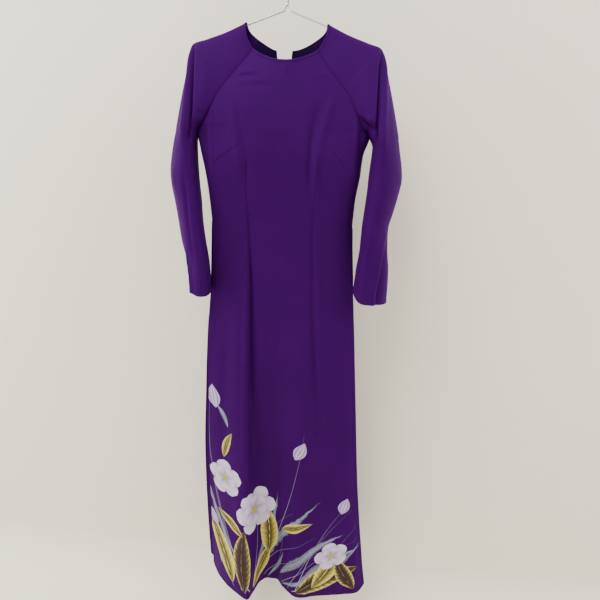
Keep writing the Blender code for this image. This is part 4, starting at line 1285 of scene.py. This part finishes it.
class TUNIC_OT_stage(bpy.types.Operator):
    """Builds the pale backdrop and floor, the soft lights and the camera"""
    bl_idname = "tunic.stage"
    bl_label = "Stage, lights and camera"

    def execute(self, context):
        self.add_backdrop()
        self.add_lights()
        self.add_camera()
        world = bpy.data.worlds.new("Soft room light")
        world.use_nodes = True
        background = world.node_tree.nodes["Background"]
        background.inputs["Color"].default_value = rgba(WARM)
        background.inputs["Strength"].default_value = ROOM_LIGHT
        context.scene.world = world
        return {"FINISHED"}

    def add_backdrop(self):
        bpy.ops.object.select_all(action="DESELECT")
        bpy.ops.mesh.primitive_plane_add(size=1.0, location=(0.0, 0.0, 0.0))
        stage = bpy.context.active_object
        stage.name = "Backdrop"
        mesh = stage.data
        for vert in mesh.vertices:
            x = math.copysign(FLOOR_HALF_WIDTH, vert.co.x)
            vert.co = (x, WALL_Y if vert.co.y > 0.0 else FLOOR_FRONT_Y, FLOOR_Z)
        bpy.ops.object.mode_set(mode="EDIT")
        bpy.ops.mesh.select_mode(type="EDGE")
        bpy.ops.mesh.select_all(action="DESELECT")
        bpy.ops.object.mode_set(mode="OBJECT")
        for edge in mesh.edges:
            edge.select = all(mesh.vertices[index].co.y > 0.0 for index in edge.vertices)
        bpy.ops.object.mode_set(mode="EDIT")
        bpy.ops.mesh.extrude_region_move(TRANSFORM_OT_translate={"value": (0.0, 0.0, WALL_HEIGHT)})
        bpy.ops.object.mode_set(mode="OBJECT")
        bend = stage.modifiers.new("Cove", "BEVEL")
        bend.width = COVE_RADIUS
        bend.segments = 12
        bpy.ops.object.modifier_apply(modifier=bend.name)
        bpy.ops.object.shade_smooth()
        mesh.materials.append(material("wall"))

    def add_lights(self):
        for light in LIGHTS:
            data = bpy.data.lights.new(light.name, "AREA")
            data.shape = "SQUARE"
            data.size = light.size
            data.energy = light.power
            data.color = light.tint
            lamp = bpy.data.objects.new(light.name, data)
            lamp.location = light.place
            aim = Vector(light.aim) - Vector(light.place)
            lamp.rotation_euler = aim.to_track_quat("-Z", "Y").to_euler()
            bpy.context.scene.collection.objects.link(lamp)

    def add_camera(self):
        pitch, yaw, roll = (math.radians(degrees) for degrees in CAMERA_DEGREES)
        turned = (Matrix.Rotation(-yaw, 4, "Z") @ Matrix.Rotation(math.pi / 2.0 - pitch, 4, "X")
                  @ Matrix.Rotation(-roll, 4, "Z"))
        data = bpy.data.cameras.new("Camera")
        data.lens = CAMERA_LENS_MM
        data.sensor_width = SENSOR_WIDTH_MM
        camera = bpy.data.objects.new("Camera", data)
        camera.matrix_world = Matrix.Translation(CAMERA_PLACE) @ turned
        bpy.context.scene.collection.objects.link(camera)
        bpy.context.scene.camera = camera


class TUNIC_PT_sidebar(bpy.types.Panel):
    """Lists the tunic's pieces, sizes and colours"""
    bl_idname = "TUNIC_PT_sidebar"
    bl_label = "Tunic"
    bl_space_type = "VIEW_3D"
    bl_region_type = "UI"
    bl_category = "Tunic"

    def draw(self, context):
        for operator in OPERATORS:
            self.layout.operator(operator.bl_idname)
        for group in (context.scene.tunic_sizes, context.scene.tunic_colours):
            box = self.layout.box()
            for name in group.__annotations__:
                box.prop(group, name)


OPERATORS = (TUNIC_OT_stage, TUNIC_OT_binding, TUNIC_OT_front, TUNIC_OT_backs, TUNIC_OT_sleeves,
             TUNIC_OT_facing, TUNIC_OT_wire)
CLASSES = (TunicSizes, TunicColours) + OPERATORS + (TUNIC_PT_sidebar,)


def register():
    for made in CLASSES:
        bpy.utils.register_class(made)
    bpy.types.Scene.tunic_sizes = bpy.props.PointerProperty(type=TunicSizes)
    bpy.types.Scene.tunic_colours = bpy.props.PointerProperty(type=TunicColours)


def unregister():
    del bpy.types.Scene.tunic_sizes
    del bpy.types.Scene.tunic_colours
    for made in reversed(CLASSES):
        bpy.utils.unregister_class(made)


def main():
    register()
    for operator in OPERATORS:
        group, name = operator.bl_idname.split(".")
        getattr(getattr(bpy.ops, group), name)()


if __name__ == "__main__":
    main()
